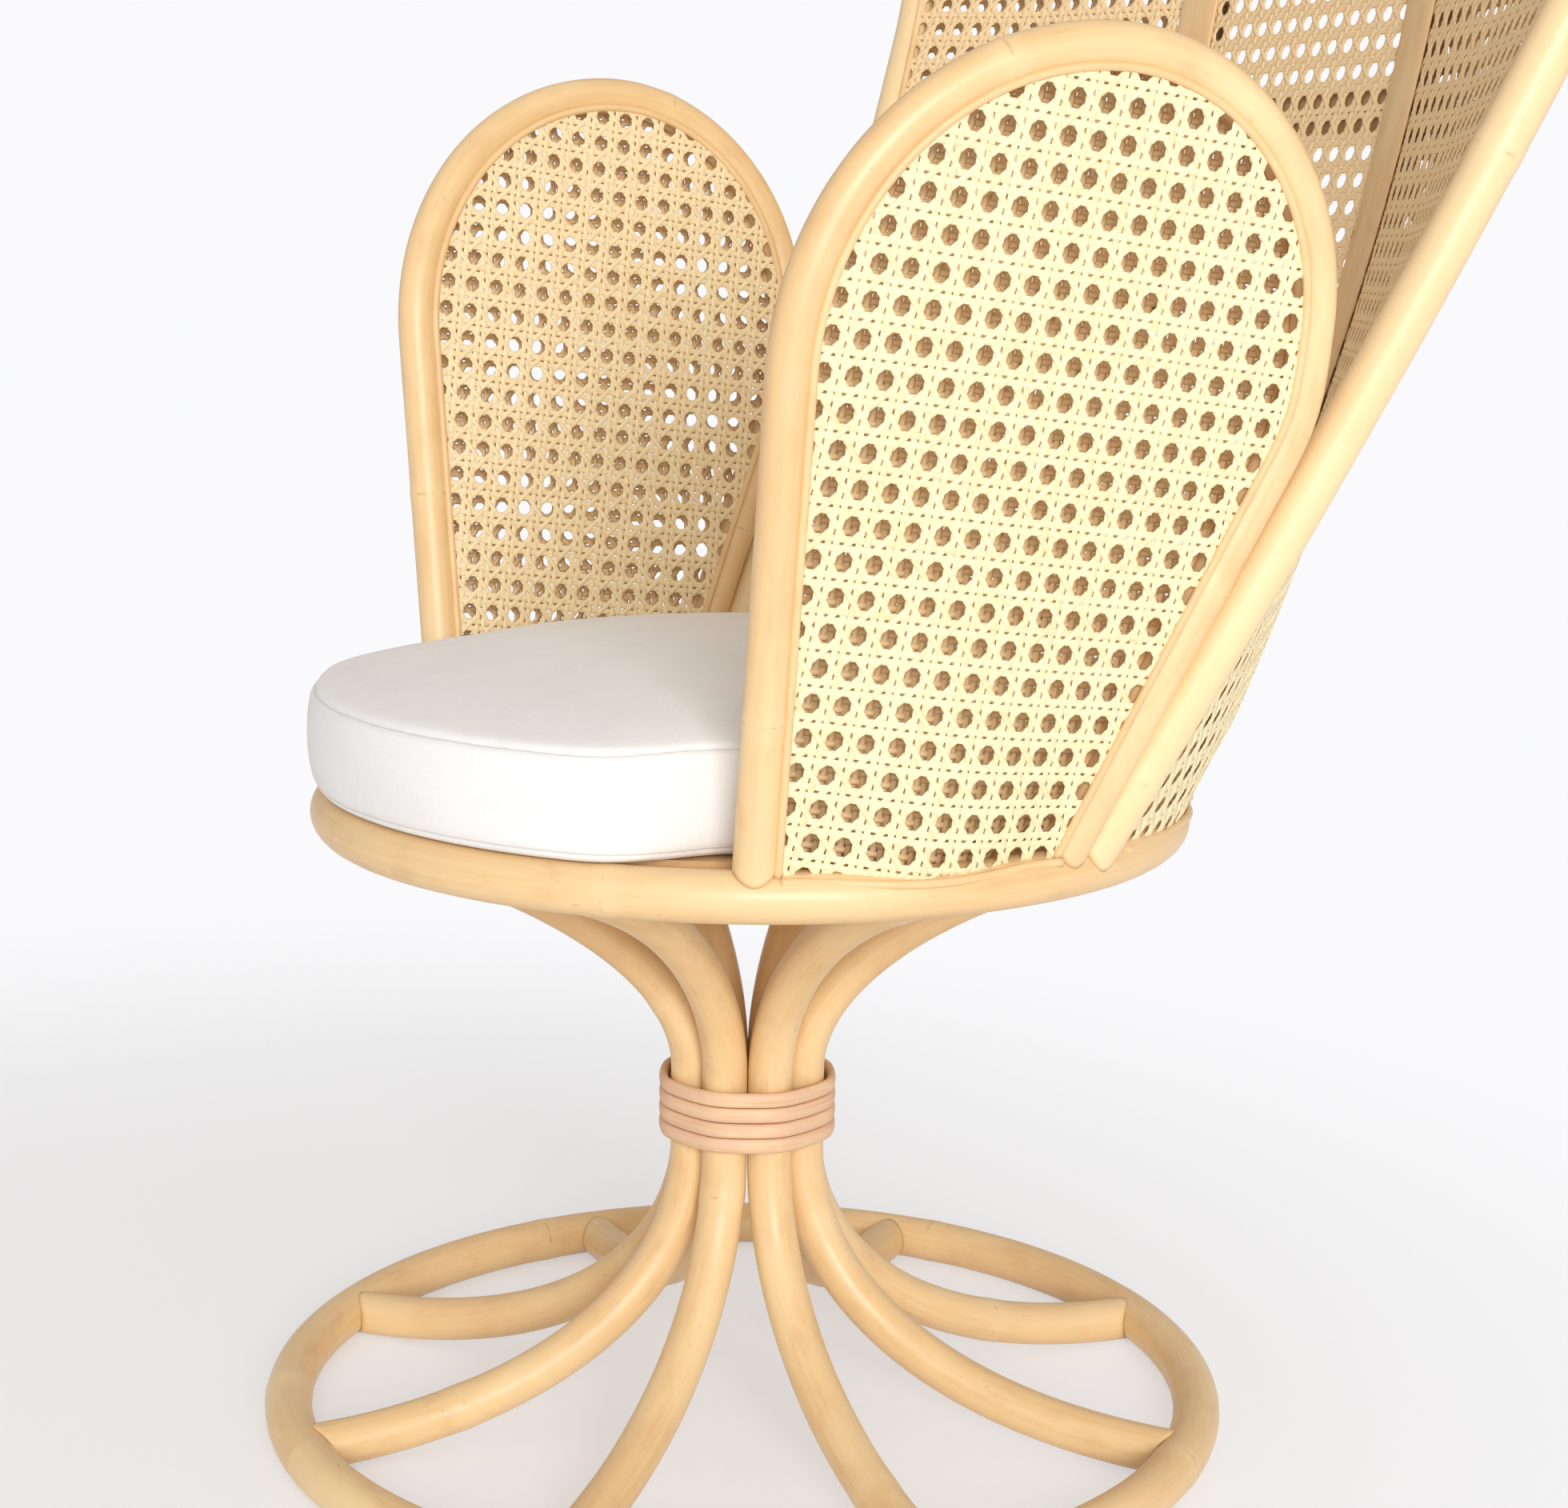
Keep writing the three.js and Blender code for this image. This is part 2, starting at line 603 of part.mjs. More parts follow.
// A point of the back moved outward by w along the surface.
function backPoint(x, h, w) {
  const slopeX = (backDepth(x + SLOPE_STEP, h) - backDepth(x - SLOPE_STEP, h)) / (2 * SLOPE_STEP);
  const slopeH = (backDepth(x, h + SLOPE_STEP) - backDepth(x, h - SLOPE_STEP)) / (2 * SLOPE_STEP);
  const outward = new THREE.Vector3(-slopeX, 1, -slopeH).normalize();
  return new THREE.Vector3(x, backDepth(x, h), SEAT_HEIGHT + h).addScaledVector(outward, w);
}

const shoulder = archSide(ARCH_SHOULDER);
const archPull = (ARCH_REACH_HEIGHT - ARCH_SHOULDER) / 2;
const archPath = new THREE.Path()
  .moveTo(archFoot.x, 0)
  .lineTo(shoulder.x, ARCH_SHOULDER)
  .bezierCurveTo(
    shoulder.x + ARCH_SPREAD / ARCH_SHOULDER * archPull, ARCH_SHOULDER + archPull,
    ARCH_REACH, ARCH_REACH_HEIGHT - archPull,
    ARCH_REACH, ARCH_REACH_HEIGHT)
  .bezierCurveTo(
    ARCH_REACH, mix(ARCH_REACH_HEIGHT, ARCH_HEIGHT, QUARTER),
    ARCH_REACH * QUARTER, ARCH_HEIGHT,
    0, ARCH_HEIGHT);

const archHalf = archPath.getSpacedPoints(ARCH_STEPS / 2).map(({ x, y }) => backPoint(x, y, 0));
const archOther = archHalf.slice(0, -1).map((point) => new THREE.Vector3(-point.x, point.y, point.z));
const archCurve = new THREE.CatmullRomCurve3([...archHalf, ...archOther.reverse()]);
const archCut = pole(archCurve, ARCH_POLE + FIT, ARCH_STEPS);
add('back_arch', cut(pole(archCurve, ARCH_POLE, ARCH_STEPS), [seatRingCut]), RATTAN);

// The cane's edge inside the arch, as rising widths for the sides and tops for the centre.
const archEdge = inset(archPath, -(ARCH_POLE + EDGE_CLEAR), TRACE_STEPS);
const archEdgeOver = archEdge.slice().reverse();
const caneLow = RING_POLE + 2 * FIT;
const creaseGap = CANE;
const creaseTop = crossing(archEdgeOver, 'x', 'y', CREASE_X + creaseGap) - FIT;

add('back_cane_centre', openSheet(CENTRE_COLUMNS, CENTRE_ROWS, (share, rise, face) => {
  const x = mix(-1, 1, share) * (CREASE_X - creaseGap);
  const top = crossing(archEdgeOver, 'x', 'y', Math.abs(x)) - FIT;
  return backPoint(x, mix(caneLow, top, rise), face * CANE / 2);
}), CANE_LOOK);

const backCaneSide = openSheet(SIDE_COLUMNS, SIDE_ROWS, (share, rise, face) => {
  const h = mix(caneLow, creaseTop, Math.sin(rise * Math.PI / 2));
  const near = CREASE_X + creaseGap;
  const far = Math.max(crossing(archEdge, 'y', 'x', h), near + creaseGap);
  return backPoint(mix(near, far, share), h, face * CANE / 2);
});

// Poles outside each crease, rods inside it, short braces behind the cane and rods along the ring.
function creaseFrames(low, high, w, count) {
  return Array.from({ length: count + 1 }, (_, k) => {
    const h = mix(low, high, k / count);
    const edge = archSide(h);
    const facing = new THREE.Vector2(creaseDepth(h) - edge.y, edge.x - CREASE_X).normalize();
    const up = new THREE.Vector3(facing.x, facing.y + 1, 0).normalize();
    const origin = new THREE.Vector3(CREASE_X, creaseDepth(h), SEAT_HEIGHT + h).addScaledVector(up, w);
    return { origin, across: new THREE.Vector3().crossVectors(up, UP), up };
  });
}

const ribOffset = CANE / 2 + 2 * FIT + RIB_POLE;
const ribTop = crossing(archPath.getSpacedPoints(TRACE_STEPS).reverse(), 'x', 'y', CREASE_X);
const ribFrames = creaseFrames(RING_POLE / 2, ribTop, ribOffset, RIB_STEPS);
const ribCurve = new THREE.CatmullRomCurve3(ribFrames.map(({ origin }) => origin));
const rib = cut(pole(ribCurve, RIB_POLE, RIB_STEPS), [seatRingCut, archCut]);
const ribCut = pole(ribCurve, RIB_POLE + FIT, RIB_STEPS);

const stripOffset = -(STRIP_THICKNESS / 2 + CANE + 4 * FIT);
const strip = sweep(
  creaseFrames(caneLow + STRIP_THICKNESS, creaseTop - STRIP_WIDTH, stripOffset, RIB_STEPS),
  oval(WINDING_SIDES, STRIP_WIDTH / 2, STRIP_THICKNESS / 2),
);

const braceEnd = crossing(archPath.getSpacedPoints(TRACE_STEPS), 'y', 'x', BRACE_HEIGHT);
const braceSide = cut(poleThrough([
  backPoint(CREASE_X + RIB_POLE, BRACE_HEIGHT, ribOffset + 2 * FIT),
  backPoint(braceEnd, BRACE_HEIGHT, ribOffset + 2 * FIT),
], RIB_POLE, SPAN_STEPS), [archCut, ribCut]);

const braceCentre = cut(poleThrough([
  backPoint(-CREASE_X, BRACE_HEIGHT, ribOffset),
  backPoint(CREASE_X, BRACE_HEIGHT, ribOffset),
], RIB_POLE, SPAN_STEPS), [ribCut, mirrored(ribCut)]);
add('back_brace_centre', braceCentre, RATTAN);

function backSill(from, to) {
  const points = Array.from({ length: SILL_STEPS + 1 }, (_, k) => backPoint(
    mix(from, to, k / SILL_STEPS), caneLow + BEAD + FIT, beadOffset + EDGE_CLEAR));
  return poleThrough(points, BEAD, SILL_STEPS, BEAD_SIDES);
}
const ribClear = RIB_POLE + BEAD + 4 * FIT;
add('back_sill_centre', backSill(-CREASE_X + ribClear, CREASE_X - ribClear), RATTAN);

const backBeadHalf = inset(archPath, -(ARCH_POLE + EDGE_CLEAR + BEAD), BEAD_STEPS)
  .filter(({ x, y }) => y > beadFloor + BEAD && x > BEAD)
  .map(({ x, y }) => backPoint(x, y, -beadOffset));
const backBeadOther = backBeadHalf.map((point) => new THREE.Vector3(-point.x, point.y, point.z));
const backBeadTrack = [...backBeadHalf, ...backBeadOther.reverse()];
add('back_bead', poleThrough(backBeadTrack, BEAD, 2 * BEAD_STEPS, BEAD_SIDES), RATTAN);

const backPieces = [
  ['back_cane', backCaneSide, CANE_LOOK],
  ['back_rib', rib, RATTAN],
  ['back_strip', strip, RATTAN],
  ['back_brace', braceSide, RATTAN],
  ['back_sill', backSill(CREASE_X + ribClear, archFoot.x - ARCH_POLE - BEAD), RATTAN],
];
for (const [name, body, look] of backPieces) {
  add(`${name}_left`, body, look);
  add(`${name}_right`, mirrored(body), look);
}

// The origin stands under the middle of the chair's box.
const box = new THREE.Box3().setFromObject(chair);
for (const mesh of chair.children) mesh.geometry.translate(0, -(box.min.y + box.max.y) / 2, 0);

export default chair;
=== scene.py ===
"""Looks of a peacock chair: smooth bent poles, woven cane, a wound binding and a soft cushion, worked out
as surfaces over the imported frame. Metres, +Z up, the sitter faces -Y."""
import math

import bpy
import numpy as np
from bpy.props import FloatProperty, FloatVectorProperty, PointerProperty
from bpy.types import Operator, Panel, PropertyGroup
from mathutils import Matrix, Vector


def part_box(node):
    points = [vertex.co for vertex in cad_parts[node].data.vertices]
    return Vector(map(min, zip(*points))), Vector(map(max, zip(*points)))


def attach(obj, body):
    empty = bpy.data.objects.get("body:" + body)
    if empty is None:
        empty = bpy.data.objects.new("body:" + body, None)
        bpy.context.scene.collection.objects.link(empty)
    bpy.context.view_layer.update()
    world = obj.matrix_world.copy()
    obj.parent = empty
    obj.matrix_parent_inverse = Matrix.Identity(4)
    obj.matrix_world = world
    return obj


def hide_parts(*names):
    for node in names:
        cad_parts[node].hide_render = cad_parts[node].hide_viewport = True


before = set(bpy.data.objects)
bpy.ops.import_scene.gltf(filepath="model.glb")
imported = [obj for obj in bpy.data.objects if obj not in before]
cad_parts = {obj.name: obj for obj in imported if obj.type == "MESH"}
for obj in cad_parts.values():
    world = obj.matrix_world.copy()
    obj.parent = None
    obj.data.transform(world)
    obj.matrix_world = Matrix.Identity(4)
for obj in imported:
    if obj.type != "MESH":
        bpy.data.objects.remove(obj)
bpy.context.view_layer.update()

bl_info = {
    "name": "Peacock chair looks",
    "version": (1, 0, 0),
    "blender": (4, 5, 0),
    "location": "3D View > Sidebar > Chair",
    "description": "Poles, woven cane, binding, cushion and a plain studio for a peacock chair",
    "category": "Object",
}

AXIS_Y = sum(corner.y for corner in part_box("floor_ring")) / 2
SEAT_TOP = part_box("seat_cushion")[0].z

# A cubic curve whose handles are this share of its box is a quarter of an ellipse.
QUARTER = 4 / 3 * (math.sqrt(2) - 1)
LEG_COUNT, LEG_TURN = 8, -4.0
# A leg's gap to the floor, the ends of its straight waist, and its curves' handles: how far in from the floor
# ring, how high below and above the waist, and how far in from the seat ring and how high.
LEG_GAP, LEG_WAIST = 0.0003, (0.178, 0.229)
FOOT_PULL, WAIST_PULLS, SEAT_PULL = 0.165, (0.090, 0.283), (0.146, 0.352)
POLE_SIDES, RIB_SIDES, THIN_SIDES = 28, 20, 12
POLE_STEP, FORM_STEP = 0.0035, 0.002
# Spacing of the knots on a pole and on a ring, how near the ends they come, and half a swelling's length.
POLE_KNOTS, RING_KNOTS, KNOT_END, KNOT_REACH = 0.34, 0.42, 0.03, 0.007
NO_KNOTS = np.array([-1.0])
# How far one seed's fibre lies beyond the one before it.
FIBRE_STEP = 3.1
# How much of a pole's end is searched for the ring it stands on, and over what length its lines are shifted.
COPE_SEARCH, COPE_FADE = 0.075, 0.11
# How uneven a pole's radius is, and the two lengths at which that repeats.
UNEVEN, UNEVEN_WAVES = 0.008, (0.083, 0.031)
SIDES = (("left", False), ("right", True))
LAYERS = (("outer", 1), ("inner", -1))
UP = (0.0, 0.0, 1.0)


# --- Sizes, colours and stage settings ---


def tint(red, green, blue):
    """Screen values of a colour, 0 to 255, as the linear values that a shader takes."""
    share = np.array([red, green, blue]) / 255
    low, high = share / 12.92, ((share + 0.055) / 1.055) ** 2.4
    return tuple(float(v) for v in np.where(share <= 0.04045, low, high))


def length(name, default, description):
    return FloatProperty(
        name=name, description=description, default=default, min=0.0, unit="LENGTH", precision=4)


def colour(name, default, description):
    return FloatVectorProperty(
        name=name, description=description, default=default, size=3, min=0.0, max=1.0, subtype="COLOR")


class ChairSizes(PropertyGroup):
    """Sizes of the chair's pieces"""

    seat_radius: length("Seat ring radius", 0.256, "Radius of the seat ring's middle line")
    seat_height: length("Seat ring height", 0.395, "Height of the seat ring's middle line")
    floor_radius: length("Floor ring radius", 0.290, "Radius of the floor ring's middle line")
    ring_pole: length("Ring pole", 0.0146, "Radius of the poles of both rings")
    leg_pole: length("Leg pole", 0.014, "Radius of a leg")
    arm_pole: length("Arm pole", 0.012, "Radius of an arm's pole")
    arch_pole: length("Arch pole", 0.014, "Radius of the back's arch")
    rib_pole: length("Rib pole", 0.008, "Radius of the ribs and braces behind the back")
    trim_rod: length("Trim rod", 0.0025, "Radius of the thin rods along the cane's edges")
    strip_width: length("Strip width", 0.034, "Width of the bands over the back's creases")
    strip_bow: length("Strip bow", 0.0035, "How far the bands over the back's creases bow")
    joint_gap: length("Joint gap", 0.0005, "Gap between a coped pole end and the ring it stands on")
    knot_swell: length("Knot swelling", 0.0004, "How far a pole swells at a knot")
    strand_width: length("Strand width", 0.0038, "Width of an upright or level strand of cane")
    slant_width: length("Slanting strand width", 0.0034, "Width of a slanting strand of cane")
    strand_thickness: length("Strand thickness", 0.0008, "Thickness of a strand of cane")
    arm_cane_offset: length("Arm cane offset", 0.0085, "Distance of each layer of cane from an arm's middle")
    binding_height: length("Binding height", 0.0094, "Height of the binding strip")
    binding_thickness: length("Binding thickness", 0.0056, "Thickness of the binding strip")
    seam_depth: length("Seam depth", 0.0016, "Depth of the groove along the cushion's seams")
    cushion_swell: length("Cushion swelling", 0.010, "Most that the filling may push the cushion's cover out")


class ChairColours(PropertyGroup):
    """Colours of the chair's finishes"""

    pole: colour("Pole", tint(236, 202, 150), "Peeled pole")
    pole_dark: colour("Pole, dark grain", tint(214, 170, 116), "Darker streaks in the poles")
    # Also laid evenly over the back's arch as painted light, to make it look more lit.
    pole_pale: colour("Pole, pale grain", tint(246, 220, 172), "Paler streaks in the poles")
    knot: colour("Knot", tint(150, 104, 62), "Thin line at a knot")
    # Painted shade: the ribs and braces behind the back's cane take this dark brown in place of the shade
    # they stand in; the crease bands take a little of it as a darker tint.
    pole_shade_and_tint: colour("Rough pole", tint(148, 106, 70), "Shaded poles behind the back's cane")
    cane_outside: colour("Cane outside", tint(246, 231, 189), "Cane on the chair's outer face")
    cane_inside: colour("Cane inside", tint(243, 213, 166), "Cane on the chair's inner face")
    binding: colour("Binding", tint(228, 190, 158), "Wound strip at the waist")
    deck: colour("Deck", tint(200, 164, 116), "Seat board and pins")
    cover: colour("Cushion cover", tint(240, 238, 237), "Woven cover of the cushion")
    floor: colour("Floor", tint(250, 250, 252), "Studio floor and background")


class ChairStage(PropertyGroup):
    """Camera and light"""

    lens: FloatProperty(name="Lens", description="Focal length of the camera", default=63.15, unit="CAMERA")
    key: FloatProperty(
        name="Key light", description="Power of the large soft light", default=286.0, unit="POWER")
    fill: FloatProperty(name="Fill light", description="Power of the weak light", default=3.0, unit="POWER")
    sky: FloatProperty(name="Room light", description="Strength of the light from all round", default=0.575)


def settings(context):
    return context.scene.chair_sizes, context.scene.chair_colours


# --- Curves ---


def unit(vectors):
    """Vectors divided by their lengths."""
    return vectors / np.linalg.norm(vectors, axis=-1, keepdims=True)


def stacked(*parts):
    """Arrays of fitting shapes side by side along a new last axis."""
    return np.stack(np.broadcast_arrays(*parts), -1)


def full_turn(count):
    """Even angles round a circle, in radians."""
    return np.arange(count) / count * 2 * np.pi


def ramp(values, low, high):
    """Rises smoothly from 0 at low to 1 at high: three squares of the share less two cubes of it."""
    share = np.clip((values - low) / (high - low), 0.0, 1.0)
    return share * share * (3 - 2 * share)


def bell(values, reach):
    """Falls from 1 at 0 to about a third at reach and on to nothing, as e to the minus square."""
    return np.exp(-(values / reach) ** 2)


def heading(angle, outward, upward):
    """Direction at an angle round the chair from the front, given its parts outward and upward."""
    turn = np.radians(angle)
    return stacked(outward * np.sin(turn), -outward * np.cos(turn), upward)


def around(angle, radius, height):
    """Point at an angle from the front, a distance from the chair's axis and a height."""
    return heading(angle, radius, height) + (0.0, AXIS_Y, 0.0)


def bearing(points):
    """Angle from the front and distance from the chair's axis: the reverse of around."""
    x, y = points[..., 0], points[..., 1] - AXIS_Y
    return np.degrees(np.arctan2(x, -y)), np.hypot(x, y)


def bezier(*handles, count=40):
    """Cubic curve of four points: each weighs its binomial share of t and 1 - t."""
    a, b, c, d = (np.asarray(handle, float) for handle in handles)
    t = np.linspace(0, 1, count)[:, None]
    return (1 - t) ** 3 * a + 3 * (1 - t) ** 2 * t * b + 3 * (1 - t) * t * t * c + t ** 3 * d


def line(a, b, count=40):
    """Even points from a to b."""
    return np.linspace(a, b, count)


def joined(*parts):
    """Parts of a path end to end, each without its last point but the last one."""
    return np.concatenate([part[:-1] for part in parts[:-1]] + [parts[-1]])


def sample(at, run, values):
    """Values along a run, read at any places on it by straight interpolation."""
    return np.stack([np.interp(at, run, values[:, k]) for k in range(values.shape[1])], -1)


def arc(points):
    """Distance along a path at each of its points."""
    return np.insert(np.cumsum(np.linalg.norm(np.diff(points, axis=0), axis=1)), 0, 0.0)


def steps(run, step):
    """Even places along a run, about a step apart."""
    return np.linspace(0, run[-1], max(3, round(run[-1] / step)) + 1)


def even(points, step):
    """The same path in even steps."""
    run = arc(points)
    return sample(steps(run, step), run, points)


def inset(path, distance):
    """Flat path moved to the right of its direction of travel."""
    along = unit(np.gradient(path, axis=0))
    return path + distance * stacked(along[:, 1], -along[:, 0])


class Track:
    """A path in even steps with a side and an up direction at each: side lies across the path and the
    given up, and up is then squared to both."""

    def __init__(self, points, up, step=POLE_STEP):
        run = arc(points)
        self.run = steps(run, step)
        self.place = sample(self.run, run, points)
        along = unit(np.gradient(self.place, self.run, axis=0))
        self.side = unit(np.cross(along, sample(self.run, run, np.broadcast_to(up, points.shape))))
        self.up = np.cross(self.side, along)

    def at(self, run, across, rise):
        """Points at places along the run, moved across and up by the section's distances."""
        place, side, up = (sample(run, self.run, part) for part in (self.place, self.side, self.up))
        return place + across[..., None] * side + rise[..., None] * up


# --- Meshes ---


def new_piece(name, points, faces, corner=None, point=None, flat=(), flip=False):
    """Puts points and lists of faces of equal corner counts into a mesh. Corner and point give named
    attributes, flat the lists of faces that aren't smoothed, and flip mirrors the piece left to right."""
    mesh = bpy.data.meshes.new(name)
    points = np.array(points, np.float32).reshape(-1, 3)
    corner = corner or {}
    if flip:
        points[:, 0] *= -1
        faces = [face[:, ::-1] for face in faces]
        corner = {key: [part[:, ::-1] for part in parts] for key, parts in corner.items()}
    loops = np.concatenate([face.ravel() for face in faces]).astype(np.int32)
    counts = np.concatenate([np.full(len(face), face.shape[1]) for face in faces])
    smooth = np.concatenate([np.full(len(face), k not in flat) for k, face in enumerate(faces)])
    mesh.vertices.add(len(points))
    mesh.vertices.foreach_set("co", points.ravel())
    mesh.loops.add(len(loops))
    mesh.loops.foreach_set("vertex_index", loops)
    mesh.polygons.add(len(counts))
    mesh.polygons.foreach_set("loop_start", np.insert(np.cumsum(counts)[:-1], 0, 0).astype(np.int32))
    mesh.polygons.foreach_set("use_smooth", smooth)
    mesh.update(calc_edges=True)
    layers = [(key, "POINT", values) for key, values in (point or {}).items()]
    for key, parts in corner.items():
        layers.append((key, "CORNER", np.concatenate([part.reshape(-1, part.shape[-1]) for part in parts])))
    for key, domain, values in layers:
        kind, field = ("FLOAT", "value") if values.shape[-1] == 1 else ("FLOAT_VECTOR", "vector")
        mesh.attributes.new(key, kind, domain).data.foreach_set(field, values.astype(np.float32).ravel())
    piece = bpy.data.objects.new(name, mesh)
    bpy.context.scene.collection.objects.link(piece)
    return piece


def shaped(piece):
    """A piece's mesh as its modifiers leave it."""
    seen = bpy.context.evaluated_depsgraph_get()
    return bpy.data.meshes.new_from_object(piece.evaluated_get(seen))


def places(mesh):
    """The places of a mesh's points."""
    flat = np.empty(len(mesh.vertices) * 3, np.float32)
    mesh.vertices.foreach_get("co", flat)
    return flat.reshape(-1, 3).astype(float)


def put(mesh, points):
    """Moves a mesh's points to new places."""
    mesh.vertices.foreach_set("co", points.astype(np.float32).ravel())
    mesh.update()


def coat(piece, finish):
    """Gives a piece one finish."""
    piece.data.materials.clear()
    piece.data.materials.append(finish)


def settle(piece, body, slot, finish, *nodes):
    """Gives a piece its finish and its body and hides the nodes that it stands for; slot is not used."""
    coat(piece, finish)
    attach(piece, body)
    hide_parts(*nodes)


def wall(rows, columns):
    """Four-cornered faces of a grid that closes on itself across its columns."""
    i, j = np.arange(rows - 1)[:, None] * columns, np.arange(columns)
    k = (j + 1) % columns
    return stacked(i + j, i + columns + j, i + columns + k, i + k).reshape(-1, 4)


def cap(rows, columns, last):
    """Three-cornered faces from an end's row to its middle point, which follows the grid's points."""
    start, j = (rows - 1) * columns * last, np.arange(columns)
    here, there = start + j, start + (j + 1) % columns
    return stacked(rows * columns + last, *((there, here) if last else (here, there)))


def with_middles(grid):
    """A grid's values in one list, then the middles of its first and its last row."""
    return np.concatenate([grid.reshape(-1, grid.shape[-1]), grid[[0, -1]].mean(1)])


def skin(name, points, marks, closed=False, flat=(1, 2), flip=False):
    """A closed skin over rows of points round a path. Its ends are capped, or with closed its last row is the
    first one again. Marks are named values at the same points, kept at the corners of the faces."""
    rows, columns = points.shape[:2]
    corners = [wall(rows, columns)]
    if closed:
        spots, faces = points[:-1], [corners[0] % ((rows - 1) * columns)]
    else:
        corners += [cap(rows, columns, last) for last in (False, True)]
        spots, faces = with_middles(points), corners
    values = {key: [with_middles(part)[corner] for corner in corners] for key, part in marks.items()}
    return new_piece(name, spots, faces, corner=values, flat=flat, flip=flip)


# --- Shaders ---


class Value:
    """One output of a shader's node. Arithmetic on it adds Math nodes."""

    def __init__(self, finish, socket):
        self.finish, self.socket = finish, socket

    def math(self, operation, *terms):
        return self.finish.value("ShaderNodeMath", {"operation": operation}, dict(enumerate(terms)))

    def __add__(self, other):
        return self.math("ADD", self, other)

    __radd__ = __add__

    def __sub__(self, other):
        return self.math("SUBTRACT", self, other)

    def __rsub__(self, other):
        return self.math("SUBTRACT", other, self)

    def __mul__(self, other):
        return self.math("MULTIPLY", self, other)

    __rmul__ = __mul__

    def rise(self, low, high):
        """Smooth step from 0 at low to 1 at high."""
        return self.finish.value("ShaderNodeMapRange", {"interpolation_type": "SMOOTHSTEP"},
                                 {"Value": self, "From Min": low, "From Max": high})


class Finish:
    """The nodes of a material or a world under construction."""

    def __init__(self, owner):
        owner.use_nodes = True
        self.owner, self.tree = owner, owner.node_tree

    def node(self, kind, settings=None, sockets=None):
        """Adds a node, makes its settings, then sets or links its sockets, by name or number."""
        node = self.tree.nodes.new(kind)
        for key, setting in (settings or {}).items():
            setattr(node, key, setting)
        for key, given in (sockets or {}).items():
            self.feed(node.inputs[key], given)
        return node

    def feed(self, socket, given):
        source = given.socket if isinstance(given, Value) else given
        if isinstance(source, bpy.types.NodeSocket):
            self.tree.links.new(source, socket)
        else:
            socket.default_value = (*source, 1.0) if socket.type == "RGBA" and len(source) == 3 else source

    def value(self, kind, settings=None, sockets=None, output=0):
        return Value(self, self.node(kind, settings, sockets).outputs[output])

    def attribute(self, name, output):
        return self.value("ShaderNodeAttribute", {"attribute_name": name}, output=output)

    def place(self):
        """The place of a point in its object."""
        return self.value("ShaderNodeTexCoord", output="Object")

    def ray(self, kind):
        """1 where a surface is met by a kind of ray, else 0."""
        return self.value("ShaderNodeLightPath", output=f"Is {kind} Ray")

    def noise(self, vector, scale, detail=2.0, roughness=0.5):
        """Cloudy values of about 0 to 1 in a space stretched by its own scale along each axis."""
        space = self.value("ShaderNodeVectorMath", {"operation": "MULTIPLY"}, {0: vector, 1: scale})
        return self.value("ShaderNodeTexNoise", None, {
            "Vector": space, "Scale": 1.0, "Detail": detail, "Roughness": roughness})

    def layered(self, base, *layers):
        """A colour with others laid over it in turn, each by its share."""
        for share, over in layers:
            base = self.node("ShaderNodeMix", {"data_type": "RGBA"}, {0: share, 6: base, 7: over}).outputs[2]
        return base

    def bump(self, height, distance):
        return self.value("ShaderNodeBump", None, {"Height": height, "Distance": distance, "Strength": 1.0})

    def shade(self, **sockets):
        """Sets or links the main shader's sockets; an underscore in a key stands for a space."""
        for key, given in sockets.items():
            self.feed(self.tree.nodes["Principled BSDF"].inputs[key.replace("_", " ")], given)
        return self.owner

    def blended(self, output, share, first, second):
        """Ends in a mixture of two shaders, by share."""
        both = self.value("ShaderNodeMixShader", None, {0: share, 1: first, 2: second})
        self.feed(self.tree.nodes[output].inputs["Surface"], both)
        return self.owner


def made_once(name):
    """Makes the finish of a name the first time it is asked for, and gives the same one after that."""
    def wrap(make):
        def give(colours, name=name, **changes):
            old = bpy.data.materials.get(name)
            return old or make(Finish(bpy.data.materials.new(name)), colours, **changes)
        return give
    return wrap


@made_once("polished pole")
def pole_finish(finish, colours, deeper=0.0, shade_and_tint=0.0, painted_light=0.0):
    """Peeled and polished pole: fine streaks and broad patches along the fibre, thin lines and lighter
    swellings at the knots, a few small dark flecks, under a thin coat. A share of dark brown paints the
    shade on poles behind the cane and tints the crease bands darker; a share of the pale grain colour laid
    over a whole pole paints light on it."""
    fibre, knot = finish.attribute("fibre", "Vector"), finish.attribute("knot", "Fac")
    streak = finish.noise(fibre, (330, 330, 9.0), 3.0, 0.6)
    patch = finish.noise(fibre, (26, 26, 9.0), 2.0)
    cloud = finish.noise(fibre, (70, 70, 30), 3.0, 0.6)
    drift = finish.noise(fibre, (3, 3, 2.2), 1.0)
    worn = finish.noise(fibre, (140, 140, 60), 1.0).rise(0.48, 0.7)
    few = finish.noise(fibre, (30, 30, 14), 1.0).rise(0.45, 0.7)
    fleck = finish.noise(fibre, (430, 430, 130), 1.0).rise(0.735, 0.79) * few
    mark = (1 - knot.rise(0.0003, 0.0013)) * worn
    halo = 1 - knot.rise(0.002, 0.014)
    base = finish.layered(
        colours.pole,
        (streak.rise(0.42, 0.74) * 0.25 + cloud.rise(0.45, 0.75) * 0.4 + deeper, colours.pole_dark),
        (patch.rise(0.45, 0.75) * 0.6, colours.pole_pale),
        (drift.rise(0.4, 0.75) * 0.45, colours.pole_dark),
        (halo * 0.18, colours.pole_pale),
        # The next two layers are painted: a dark brown as the shade on poles behind the cane (and a darker
        # tint on the crease bands), and the pale grain colour as light on the back's arch.
        (shade_and_tint, colours.pole_shade_and_tint),
        (painted_light, colours.pole_pale),
        (mark * 0.28 + fleck * 0.45, colours.knot))
    height = streak * 0.4 - mark * 0.4 - fleck * 0.5
    return finish.shade(Base_Color=base, Roughness=0.36 + streak * 0.16 + fleck * 0.2, Coat_Weight=0.18,
                        Coat_Roughness=0.28, Normal=finish.bump(height, 0.00018))


